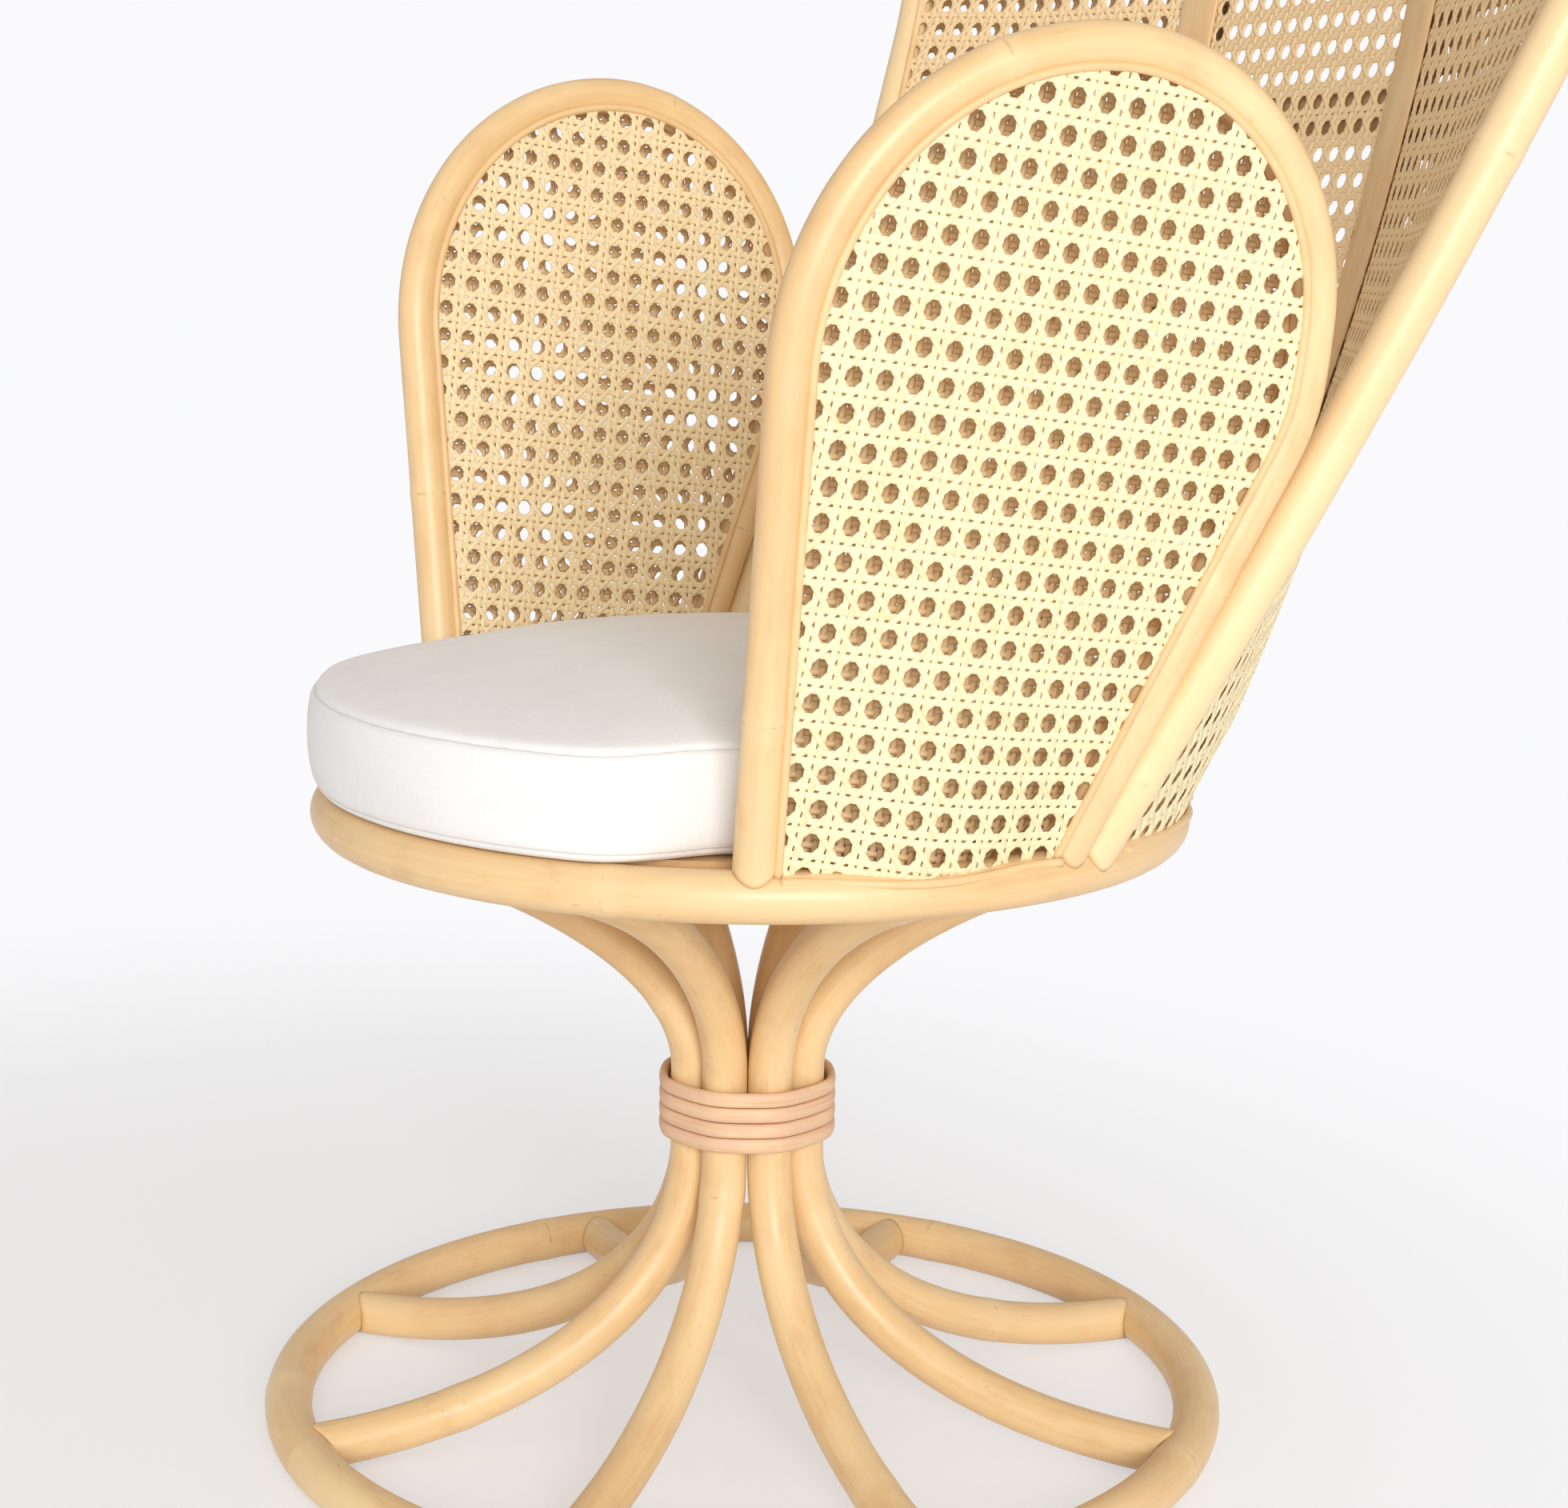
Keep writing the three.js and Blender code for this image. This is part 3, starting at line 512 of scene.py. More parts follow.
@made_once("woven cane")
def cane_finish(finish, colours):
    """Split cane: glossy straw outside the chair and a warmer tone inside it, each strand with its own tone
    and fine lines along it."""
    strand, facing = finish.attribute("strand", "Vector"), finish.attribute("facing", "Fac")
    tone = finish.value("ShaderNodeSeparateXYZ", None, {0: strand}, output=2)
    grain = finish.noise(strand, (14, 45, 90), 2.0)
    patch = finish.noise(strand, (1, 28, 70), 1.0)
    base = finish.layered(
        colours.cane_inside,
        (facing.rise(0.25, 0.75), colours.cane_outside),
        (tone.rise(0.55, 1.0) * 0.3 + patch.rise(0.5, 0.8) * 0.3, colours.pole),
        (grain.rise(0.55, 0.8) * 0.3, colours.pole_dark))
    return finish.shade(Base_Color=base, Roughness=0.42 + grain * 0.2, Normal=finish.bump(grain, 0.00012))


@made_once("wound strip")
def binding_finish(finish, colours):
    """Wound strip: soft pinkish tan with long streaks and paler patches."""
    fibre = finish.attribute("fibre", "Vector")
    streak = finish.noise(fibre, (700, 700, 16.0), 3.0)
    patch = finish.noise(fibre, (90, 90, 26.0), 2.0)
    base = finish.layered(
        colours.binding,
        (streak.rise(0.45, 0.75) * 0.5, colours.pole_dark),
        (patch.rise(0.45, 0.75) * 0.45, colours.pole_pale))
    return finish.shade(Base_Color=base, Roughness=0.48 + streak * 0.2, Normal=finish.bump(streak, 0.00016))


@made_once("plain board")
def board_finish(finish, colours):
    """Plain board and turned pins: straight grain along one direction."""
    grain = finish.noise(finish.place(), (420, 18, 420), 3.0)
    patch = finish.noise(finish.place(), (12, 5, 12), 2.0)
    base = finish.layered(colours.deck, (grain.rise(0.4, 0.7) * 0.5 + patch * 0.2, colours.pole_dark))
    return finish.shade(Base_Color=base, Roughness=0.55 + grain * 0.2, Normal=finish.bump(grain, 0.0002))


@made_once("woven cotton")
def cover_finish(finish, colours):
    """Plain woven cotton: two crossing sets of uneven threads, a soft mottle and a little sheen."""
    cloth = finish.attribute("cloth", "Vector")
    warp = finish.noise(cloth, (1700, 70, 300), 1.0)
    weft = finish.noise(cloth, (70, 1700, 300), 1.0)
    mottle = finish.noise(cloth, (22, 22, 22), 2.0)
    thread = warp * 0.5 + weft * 0.5
    shade = tuple(v * 0.88 for v in colours.cover)
    base = finish.layered(
        colours.cover, (thread.rise(0.35, 0.7) * 0.35 + mottle.rise(0.4, 0.7) * 0.25, shade))
    return finish.shade(Base_Color=base, Roughness=0.82 + thread * 0.14, Sheen_Weight=0.15,
                        Sheen_Roughness=0.5, Normal=finish.bump(thread + mottle * 0.6, 0.00025))


# Middle of the part of the floor that takes the chair's shadow, and where it runs out.
# It lies off the chair toward the camera's left, so the floor's glow is whiter to the right and its real
# shading shows more to the left: a painted fall of light from the right.
SHADED_FLOOR = (-0.20, -0.38, 0.0)
SHADED_REACH = (0.35, 1.35)
SPECK = tint(214, 215, 220)


@made_once("studio floor")
def floor_finish(finish, colours):
    """Studio floor: pale and matt near the chair, running out into the background's own white."""
    away = finish.value("ShaderNodeVectorMath", {"operation": "DISTANCE"},
                        {0: finish.place(), 1: SHADED_FLOOR}, output="Value")
    speck = finish.noise(finish.place(), (30, 30, 30), 3.0)
    finish.shade(Base_Color=finish.layered(colours.floor, (speck * 0.06, SPECK)), Roughness=0.65)
    glow = finish.value("ShaderNodeEmission", None, {"Color": colours.floor, "Strength": 1.0})
    seen = (finish.ray("Camera") + finish.ray("Glossy")).rise(0.0, 1.0)
    matt = finish.tree.nodes["Principled BSDF"].outputs[0]
    return finish.blended("Material Output", seen * (away.rise(*SHADED_REACH) * 0.55 + 0.45), matt, glow)


# --- The chair's forms ---


def seat_ring_cut(sizes):
    """Radius and height of the seat ring's middle line, and how near to it a pole's end may come."""
    return sizes.seat_radius, sizes.seat_height, sizes.ring_pole + sizes.joint_gap


def floor_ring_cut(sizes):
    """The same for the floor ring."""
    return sizes.floor_radius, sizes.ring_pole, sizes.ring_pole + sizes.joint_gap


def knot_places(run, seed, spacing=POLE_KNOTS):
    """Steps of a run on which a pole's knots lie: spaced unevenly, by a seeded draw."""
    draw = np.random.default_rng(seed)
    spaces = spacing * draw.uniform(0.7, 1.3, int(run[-1] / spacing) + 2)
    at = np.cumsum(spaces) - spacing * draw.uniform(0.2, 0.9)
    at = at[(at > KNOT_END) & (at < run[-1] - KNOT_END)]
    return run[np.round(at / run[1]).astype(int)] if len(at) else NO_KNOTS


def coped(track, radius, theta, ring, last):
    """How far along the run each line of a pole's skin leaves a ring: the first place where its distance
    from the ring's middle line exceeds the ring's radius and the gap."""
    reach, height, tube = ring
    near = np.linspace(0, COPE_SEARCH, 151)
    run = (track.run[-1] - near if last else near)[:, None] + 0 * theta
    points = track.at(run, radius * np.cos(theta), radius * np.sin(theta))
    clear = np.hypot(bearing(points)[1] - reach, points[..., 2] - height) - tube
    k, j = np.maximum(np.argmax(clear > 0, axis=0), 1), np.arange(len(theta))
    before, after = clear[k - 1, j], clear[k, j]
    return near[k - 1] + np.clip(-before / (after - before), 0, 1) * near[1]


def pole(name, node, finish, track, radius, sizes, seed, rings=None, oval=1.0, sides=POLE_SIDES, knots=True,
         flip=False):
    """A round pole for a node: a circle carried along a track, a little thicker at its knots and slightly
    uneven along its length. Ends that stand on rings are coped to them: their lines start where they leave
    the rings."""
    theta = full_turn(sides)
    run, total = track.run[:, None] + 0 * theta, track.run[-1]
    if rings:
        start, end = (coped(track, radius, theta, ring, last) for last, ring in enumerate(rings))
        run = run + start * (1 - ramp(track.run, 0, COPE_FADE))[:, None]
        run = run - end * ramp(track.run, total - COPE_FADE, total)[:, None]
    away = np.abs(run[..., None] - (knot_places(track.run, seed) if knots else NO_KNOTS)).min(-1)
    thick = radius
    if knots:
        phases = np.random.default_rng(seed).uniform(0, 2 * np.pi, 2)
        first, second = (np.sin(run / wave + phase) for wave, phase in zip(UNEVEN_WAVES, phases))
        thick = radius * (1 + UNEVEN * first * second) + sizes.knot_swell * bell(away, KNOT_REACH)
    points = track.at(run, thick * np.cos(theta) * oval, thick * np.sin(theta))
    grain = stacked(radius * np.cos(theta), radius * np.sin(theta), run + FIBRE_STEP * seed)
    piece = skin(name, points, {"fibre": grain, "knot": away[..., None]}, flip=flip)
    settle(piece, "frame", "pole" if knots else "trim", finish, node)


def rod(name, node, track, sizes, colours, seed, flip=False):
    """A thin plain rod along the edge of the cane, for a node."""
    finish = pole_finish(colours, "trim rod", deeper=0.05)
    pole(name, node, finish, track, sizes.trim_rod, sizes, seed, sides=THIN_SIDES, knots=False, flip=flip)


def ring(name, radius, height, sizes, seed):
    """A closed ring of pole: a circle of the pole's radius carried round a level circle."""
    angle = np.linspace(0, 360, 2 * round(np.pi * radius / POLE_STEP) + 1)
    run, theta = np.radians(angle) * radius, full_turn(POLE_SIDES)
    away = np.abs(run[:, None] - knot_places(run, seed, RING_KNOTS)).min(-1)[:, None] + 0 * theta
    thick = sizes.ring_pole + sizes.knot_swell * bell(away, KNOT_REACH)
    points = around(angle[:, None], radius - thick * np.cos(theta), height + thick * np.sin(theta))
    points[..., 2] = np.maximum(points[..., 2], 0.0)
    grain = stacked(sizes.ring_pole * np.cos(theta), sizes.ring_pole * np.sin(theta),
                    run[:, None] + FIBRE_STEP * seed)
    return skin(name, points, {"fibre": grain, "knot": away[..., None]}, closed=True)


def waist_radius(sizes, gap=0.00015):
    """Distance of the legs from the axis where they stand side by side, with a gap on each leg's sides."""
    return (sizes.leg_pole + gap) / math.sin(math.pi / LEG_COUNT)


def leg_track(angle, sizes):
    """A leg: out of the floor ring, up a sweep to the waist, straight through it, out to the seat ring."""
    waist, foot, seat = waist_radius(sizes), sizes.floor_radius, sizes.seat_radius
    low, high, (waist_low, waist_high) = sizes.leg_pole + LEG_GAP, sizes.seat_height, LEG_WAIST
    below, above = WAIST_PULLS
    profile = joined(
        bezier((foot, low), (foot - FOOT_PULL, low), (waist, below), (waist, waist_low), count=80),
        line((waist, waist_low), (waist, waist_high)),
        bezier((waist, waist_high), (waist, above), (seat - SEAT_PULL[0], SEAT_PULL[1]), (seat, high),
               count=80))
    return Track(around(angle, profile[:, 0], profile[:, 1]), heading(angle + 90, 1.0, 0.0))


def bound_outline(angle, thickness, sizes):
    """Distance from the axis of a strip pulled tight round the legs: round each leg, straight from one leg to
    the next."""
    step = 360 / LEG_COUNT
    off = np.radians(np.abs((angle - LEG_TURN + step / 2) % step - step / 2))
    centre, out, half = waist_radius(sizes), sizes.leg_pole + thickness, math.radians(step / 2)
    meets = math.atan2(out * math.sin(half), centre + out * math.cos(half))
    on_leg = centre * np.cos(off) + np.sqrt(np.maximum(out ** 2 - (centre * np.sin(off)) ** 2, 0))
    between = (centre * math.cos(half) + out) / np.cos(half - off)
    return np.where(off < meets, on_leg, between)


def hump(share):
    """A panel's swelling by the share of its width: 1 less the squared distance from the middle, squared."""
    return (1 - np.clip(2 * share - 1, -1, 1) ** 2) ** 2


def swelling(h, low=0.015, span=0.260):
    """How much of a panel's swelling at the ring is left at a height: it falls as a square to nothing."""
    return np.clip(1 - (h - low) / span, 0, None) ** 2


class ArmForm:
    """One petal-shaped arm, in distances u rearward from the middle of its feet, v up and w outward. The left
    arm; the right one is its mirror."""

    # Angles of the feet round the seat ring, and the lean outward.
    front_foot, rear_foot, lean = 63.5, 104.2, math.radians(8.4)
    # The top's height and place, and where the straight front ends.
    top, shift, straight = 0.447, 0.072, 0.280
    # The point furthest to the rear, and the height and slope of the straight rear.
    reach, reach_height = 0.210, 0.305
    rear_height, rear_slope = 0.202, math.tan(math.radians(25))

    def __init__(self, sizes):
        middle = (self.front_foot + self.rear_foot) / 2
        half = math.radians(self.rear_foot - self.front_foot) / 2
        self.foot = sizes.seat_radius * math.sin(half)
        self.sag = sizes.seat_radius * (1 - math.cos(half))
        rearward = heading(middle + 90, 1.0, 0.0)
        upward = heading(middle, math.sin(self.lean), math.cos(self.lean))
        self.outward = np.cross(rearward, upward)
        self.axes = np.stack([rearward, upward, self.outward])
        self.origin = around(middle, sizes.seat_radius - self.sag, sizes.seat_height)
        self.path = even(self.petal(), FORM_STEP)
        edge = inset(self.path, sizes.arm_pole)
        peak = np.argmax(edge[:, 1])
        self.edges = edge[:peak + 1], edge[peak:][::-1]

    def petal(self):
        """Straight up the front, over the top by two quarters of ellipses, and down to the straight rear."""
        foot, top, shift, straight, reach = self.foot, self.top, self.shift, self.straight, self.reach
        high, low, slope = self.reach_height, self.rear_height, self.rear_slope
        rear, pull = foot + slope * low, (high - low) / 2
        near = lambda a, b: a + (b - a) * QUARTER
        return joined(
            line((-foot, 0), (-foot, straight)),
            bezier((-foot, straight), (-foot, near(straight, top)), (near(shift, -foot), top), (shift, top)),
            bezier((shift, top), (near(shift, reach), top), (reach, near(high, top)), (reach, high)),
            bezier((reach, high), (reach, high - pull), (rear + slope * pull, low + pull), (rear, low)),
            line((rear, low), (foot, 0)))

    def point(self, u, v, w):
        """The middle of the feet moved by u, v and w along the arm's own axes."""
        return self.origin + stacked(u, v, w) @ self.axes

    def cane_point(self, u, v, w):
        """A point of the cane, which swells outward near the ring, most midway between the edges."""
        front, rear = (np.interp(v, edge[:, 1], edge[:, 0]) for edge in self.edges)
        share = (u - front) / np.maximum(rear - front, 1e-9)
        return self.point(u, v, w + self.sag * hump(share) * swelling(v))

    def outline(self, distance, low):
        """The cane's outline inside the pole, cut level at the bottom."""
        u, v = inset(self.path, distance).T
        return stacked(u, np.maximum(v, low))


class BackForm:
    """The back's mid surface: its depth rearward is given at every x and height h above the seat ring. It is
    flat between two upright creases, runs out from them to the arch, and swells near the ring."""

    # Place of a crease and of the brace; height, half width and widest level of the arch; angle of its feet.
    crease, brace = 0.119, 0.425
    height, reach, reach_height, foot_angle = 0.790, 0.376, 0.575, 109.4
    # Height of the arch's straight sides; over it, how far they run out and back, how far they bow, and how
    # far a crease runs back and bows.
    side_height = 0.495
    side_out, side_back, side_bow = 0.119, 0.226, 0.037
    crease_back, crease_bow = 0.262, 0.086
    # A rib's gap behind its crease, and how far and over what height its foot is drawn in to the ring.
    rib_gap, rib_draw, rib_low, rib_high = 0.0016, 0.006, 0.004, 0.064
    # Over what width the inner cane is drawn towards the sitter, and how far it ends inside the arch's line.
    draw_width, cane_edge = 0.12, 0.0105
    # The outer cane's distance from the mid surface at the arch and over the brace, what it loses there near
    # the arch and over which shares of the width, and how fast it comes down from the brace.
    arch_lift, brace_lift, brace_loss, brace_ends, brace_fall = 0.0088, 0.0196, 0.0060, (0.88, 0.98), 0.12
    # The width over which the outer cane meets a rib, and how far it goes on round it.
    rib_meet, wrap_past = 0.02, math.radians(30)

    def __init__(self, sizes):
        self.seat, self.base, self.rib = sizes.seat_radius, sizes.seat_height, sizes.rib_pole
        self.over_arch = sizes.arch_pole * 0.81
        self.foot = heading(self.foot_angle, self.seat, 0.0)[:2]
        self.crease_foot = math.sqrt(self.seat ** 2 - self.crease ** 2)
        middle = math.hypot(self.crease + self.foot[0], self.crease_foot + self.foot[1]) / 2
        self.side_sag = (self.seat - middle) * self.seat / self.crease_foot
        rise, reach, widest, top = self.side_height, self.reach, self.reach_height, self.height
        side_x, pull = self.arch_side(rise)[0], (widest - rise) / 2
        self.path = even(joined(
            line((self.foot[0], 0), (side_x, rise)),
            bezier((side_x, rise), (side_x + self.side_out / rise * pull, rise + pull),
                   (reach, widest - pull), (reach, widest)),
            bezier((reach, widest), (reach, widest + (top - widest) * QUARTER),
                   (reach * QUARTER, top), (0, top))), FORM_STEP)
        self.levels = np.linspace(0, 0.85, 851)
        self.climb = arc(stacked(self.levels, self.crease_depth(self.levels)))

    def arch_side(self, h):
        """x and depth of the arch at a height: both run out evenly, and the depth bows as a parabola."""
        t = h / self.side_height
        return (self.foot[0] + self.side_out * t,
                self.foot[1] + self.side_back * t + self.side_bow * t * (1 - t))

    def crease_depth(self, h):
        """Depth of a crease at a height: it runs back evenly, less a part that grows as a square."""
        t = h / self.side_height
        return self.crease_foot + self.crease_back * t - self.crease_bow * t * t

    def depth(self, x, h):
        """The crease's depth between the creases, and beside them an even run to the arch's depth; each panel
        swells near the ring."""
        away, crease, left = np.abs(x), self.crease_depth(h), swelling(h)
        side_x, side_y = self.arch_side(h)
        share = (away - self.crease) / (side_x - self.crease)
        bulge = (1 - np.minimum(away / self.crease, 1) ** 2) ** 2
        flat = crease + (self.seat - self.crease_foot) * bulge * left
        side = crease + (side_y - crease) * share + self.side_sag * hump(share) * left
        return np.where(away <= self.crease, flat, side)

    def outward(self, x, h, step=0.001):
        """Direction square to the surface, from the depth's slopes in x and h."""
        slope_x = (self.depth(x + step, h) - self.depth(x - step, h)) / (2 * step)
        slope_h = (self.depth(x, h + step) - self.depth(x, h - step)) / (2 * step)
        return unit(stacked(-slope_x, 1.0, -slope_h))

    def point(self, x, h, w):
        """A point of the back moved outward by w along the surface."""
        x, h, w = np.broadcast_arrays(x, h, w)
        return stacked(x, self.depth(x, h) + AXIS_Y, self.base + h) + w[..., None] * self.outward(x, h)

    def sides(self, h):
        """In plan at a height: a side panel from crease to arch, the way across it, its outward direction and
        the crease's own, midway between the panels' directions."""
        side_x, side_y = self.arch_side(h)
        span = stacked(side_x - self.crease, side_y - self.crease_depth(h))
        across = unit(span)
        normal = stacked(-across[:, 1], across[:, 0])
        return span, across, normal, unit(normal + (0.0, 1.0))

    def rib_out(self, h):
        """Distance of a rib's middle line from its crease."""
        return self.rib_gap + self.rib - self.rib_draw * (1 - ramp(h, self.rib_low, self.rib_high))

    def widen(self, h):
        """Length across a side panel for each step in x."""
        side_x, side_y = self.arch_side(h)
        return np.sqrt(1 + ((side_y - self.crease_depth(h)) / (side_x - self.crease)) ** 2)

    def short(self, x, h):
        """How far a point is short of the arch's middle line, to first order. The top is half an ellipse."""
        dome = self.height - self.reach_height
        side = np.interp(h, self.path[:, 1], self.path[:, 0]) - np.abs(x)
        up, out = np.maximum(h - self.reach_height, 0) / dome, np.abs(x) / self.reach
        away = np.maximum(np.hypot(out, up), 1e-6)
        steep = np.hypot(out / self.reach, up / dome) / away
        top = (1 - away) / np.maximum(steep, 1e-6)
        return np.where(h < self.reach_height, side * self.widen(h), top)

    def drawn(self, x, h):
        """How far the inner cane is drawn towards the sitter: evenly more up to the arch's inner face."""
        return self.over_arch * np.maximum(1 - self.short(x, h) / self.draw_width, 0)

    def cane_point(self, x, q, w):
        """A point of the inner cane by its distance q up the crease."""
        h = np.interp(q, self.climb, self.levels)
        return self.point(x, h, w - self.drawn(x, h))

    def side_cane_point(self, p, q, w):
        """A point of a side panel's inner cane by distances along it: q up the crease, p across from it."""
        return self.cane_point(self.crease + p / self.widen(np.interp(q, self.climb, self.levels)), q, w)

    def wrapped_point(self, p, q, w):
        """A point of a side panel's outer layer, q up the crease and p across from it. The layer runs from
        the arch's skin to the rib's, is lifted over the brace, goes round the rib and on behind the middle
        panel."""
        h = np.interp(q, self.climb, self.levels)
        span, across, normal, middle = self.sides(h)
        crease = stacked(self.crease, self.crease_depth(h) + AXIS_Y)
        rib, round_rib = self.rib_out(h)[:, None] * middle, self.rib + self.rib_gap
        start, top = (rib * across).sum(-1), (rib * normal).sum(-1) + round_rib
        share = np.clip(p / np.linalg.norm(span, axis=-1), 0, 1)
        over_brace = (self.brace_lift - self.brace_loss * ramp(share, *self.brace_ends)
                      - self.brace_fall * np.abs(h - self.brace))
        lift = np.maximum(top + (self.arch_lift - top) * share, over_brace)
        lift = top + (lift - top) * ramp(p, start, start + self.rib_meet)
        lift = lift + self.side_sag * hump(share) * swelling(h) * normal[:, 1]
        straight = across * p[:, None] + normal * (lift + w)[:, None]
        turn = np.arccos(np.clip(normal[:, 1], -1, 1)) + self.wrap_past
        angle = np.clip((start - p) / round_rib, 0, turn)
        cos, sin = np.cos(angle)[:, None], np.sin(angle)[:, None]
        past = np.maximum(start - p - round_rib * turn, 0)[:, None]
        curved = rib + (normal * cos - across * sin) * (round_rib + w)[:, None]
        curved = curved - (normal * sin + across * cos) * past
        flat = crease + np.where((p > start)[:, None], straight, curved)
        return np.concatenate([flat, (self.base + h)[:, None]], 1)

    def edge(self, distance):
        """The arch's middle line moved inward."""
        return inset(self.path, -distance)

    def outline(self, side, low, past=0.0):
        """A panel's outline in distances along the cane; past lets a side panel run on beyond the crease."""
        crease, (x, h) = self.crease, self.edge(self.cane_edge).T
        keep = (h > low) & (x > crease if side else x < crease)
        x, h = x[keep], h[keep]
        if side:
            x, h = np.concatenate([x[:1], x, [crease]]), np.concatenate([[low], h, h[-1:]])
            p, h = np.append((x - crease) * self.widen(h), 0.0), np.append(h, low)
            p[-2:] = -past
        else:
            x, h = np.append(crease, x), np.append(h[0], h)
            p, h = np.concatenate([x, -x[::-1], [-crease, crease]]), np.concatenate([h, h[::-1], [low, low]])
        return stacked(p, np.interp(h, self.levels, self.climb))

    def crease_slope(self, h):
        """Slope of each panel against the plane square to the crease's own outward direction."""
        normal = self.sides(h)[2]
        return np.tan(np.arctan2(normal[:, 0], normal[:, 1]) / 2)

    def crease_track(self, low, high, rib=False):
        """The line of a crease, or of the rib behind it, with the crease's own outward direction as up."""
        h = np.linspace(low, high, 120)
        up = np.pad(self.sides(h)[3], ((0, 0), (0, 1)))
        place = stacked(self.crease, self.crease_depth(h) + AXIS_Y, self.base + h)
        return Track(place + (self.rib_out(h)[:, None] * up if rib else 0.0), up)


# Where a strand crosses the others along one pitch and whether it lies over (1) or under (-1) them.
PAIR = 0.13
PAIR_CROSSINGS = (0.13, 0.37, 0.63, 0.87)
PAIR_OVER = np.array([1, -1, 1, -1])
SLANT_CROSSINGS = (0.0, 0.13, 0.37, 0.5, 0.63, 0.87)
SLANT_OVER = np.array([1, 1, -1, -1, -1, 1])
# Directions in which an outline is measured, the shortest strand and the least step at its ends, in pitches.
OUTLINE_SIDES, SHORTEST, END_STEP = 1441, 0.25, 0.02
# Corners of a strand's section: shares of its width across and of its thickness up; how far each faces out.
STRAND_SECTION = np.array([(-0.5, 0.0), (-0.42, 0.5), (0.42, 0.5), (0.5, 0.0), (0.0, -0.5)])
STRAND_FACING = np.array([0.5, 1.0, 1.0, 0.5, 0.0])


def strands(outline, base, way, table, over, width, thickness, draw):
    """One family of parallel strands. Each runs from base along way, is cut where it leaves the outline in
    any direction, and has a section at every crossing, raised or lowered by half its thickness. Returns flat
    places, heights, attributes, and faces of four and of five corners."""
    turn = full_turn(OUTLINE_SIDES)
    outward = stacked(np.cos(turn), np.sin(turn))
    speed = outward @ way
    room = (outline @ outward.T).max(0) - base @ outward.T
    low = np.where(speed < -1e-9, room / speed, -np.inf).max(1)
    high = np.where(speed > 1e-9, room / speed, np.inf).min(1)
    keep = high - low > SHORTEST
    base, low, high = base[keep], low[keep, None], high[keep, None]
    periods = np.arange(math.floor(low.min()) - 1, math.ceil(high.max()) + 2)
    stops = (periods[:, None] + np.array(table)).ravel()
    after, before = np.append(stops[1:], np.inf), np.insert(stops[:-1], 0, -np.inf)
    used = (after > low + END_STEP) & (before < high - END_STEP)
    t, strand = np.clip(stops, low, high)[used], np.nonzero(used)[0]
    across, up = STRAND_SECTION.T
    sideways = np.array([way[1], -way[0]]) / np.linalg.norm(way)
    flat = (base[strand] + t[:, None] * way)[:, None] + across[:, None] * width * sideways
    lift = (np.interp(t, stops, np.tile(over, len(periods))) * thickness / 2)[:, None] + up * thickness
    tone = draw.uniform(0, 1, keep.sum())[strand]
    marks = stacked(across, (t * np.linalg.norm(way))[:, None], tone[:, None])
    count, goes_on = len(across), strand[1:] == strand[:-1]
    j = np.arange(count)
    k = (j + 1) % count
    here = np.nonzero(goes_on)[0][:, None] * count
    four = stacked(here + j, here + count + j, here + count + k, here + k).reshape(-1, 4)
    starts = np.nonzero(np.insert(~goes_on, 0, True))[0][:, None] * count + j
    ends = np.nonzero(np.append(~goes_on, True))[0][:, None] * count + j[::-1]
    return flat.reshape(-1, 2), lift.ravel(), marks.reshape(-1, 3), four, np.concatenate([starts, ends])


def weave(name, node, outline, lattice, spot, sizes, colours, seed, tones=(0.0, 1.0), inward=False,
          flip=False):
    """Six-way cane for a node: pairs of uprights and levels and two sets of slanting strands on a lattice,
    given by a hole and the steps to the next column and row. spot gives the place in space of flat distances
    and a height, and tones how far the inner and the outer side have the colour of the chair's outer face.
    The smooth side faces out, or in."""
    hole, column, row = np.array(lattice)
    origin = hole - column / 2 - row / 2
    a, b = np.linalg.solve(stacked(column, row), (outline - origin).T)
    draw = np.random.default_rng(seed)
    span = lambda values: np.arange(math.floor(values.min()) - 1, math.ceil(values.max()) + 2)
    pair, slant = (PAIR_CROSSINGS, sizes.strand_width), (SLANT_CROSSINGS, sizes.slant_width)
    families = (
        (column, span(a) + PAIR, row, PAIR_OVER, pair),
        (column, span(a) - PAIR, row, -PAIR_OVER, pair),
        (row, span(b) + PAIR, column, -PAIR_OVER, pair),
        (row, span(b) - PAIR, column, PAIR_OVER, pair),
        (row, span(a + b) + 0.5, column - row, SLANT_OVER, slant),
        (-row, span(a - b) + 0.5, column + row, -SLANT_OVER, slant))
    parts = [strands(outline, origin + lines[:, None] * step, way, table, over, width,
                     sizes.strand_thickness, draw) for step, lines, way, over, (table, width) in families]
    flat, lift, marks = (np.concatenate([part[k] for part in parts]) for k in range(3))
    starts = np.cumsum([0] + [part[1].size for part in parts[:-1]])
    faces = [np.concatenate([part[k] + start for part, start in zip(parts, starts)]) for k in (3, 4)]
    facing = np.tile(STRAND_FACING, len(lift) // len(STRAND_FACING))[:, None]
    if inward:
        lift, facing, faces = -lift, 1 - facing, [face[:, ::-1] for face in faces]
    facing = tones[0] + (tones[1] - tones[0]) * facing
    piece = new_piece(name, spot(flat[:, 0], flat[:, 1], lift), faces,
                      point={"strand": marks, "facing": facing}, flat=(1,), flip=flip)
    settle(piece, "frame", "cane", cane_finish(colours), node)


# --- Operators ---


class CHAIR_OT_rings(Operator):
    """Make the floor ring and the seat ring"""

    bl_idname = "chair.rings"
    bl_label = "Rings"

    def execute(self, context):
        sizes, colours = settings(context)
        rings = ("floor_ring", floor_ring_cut(sizes), 11), ("seat_ring", seat_ring_cut(sizes), 12)
        for name, (radius, height, _), seed in rings:
            piece = ring(f"{name}_pole", radius, height, sizes, seed)
            settle(piece, "frame", "pole", pole_finish(colours), name)
        return {"FINISHED"}


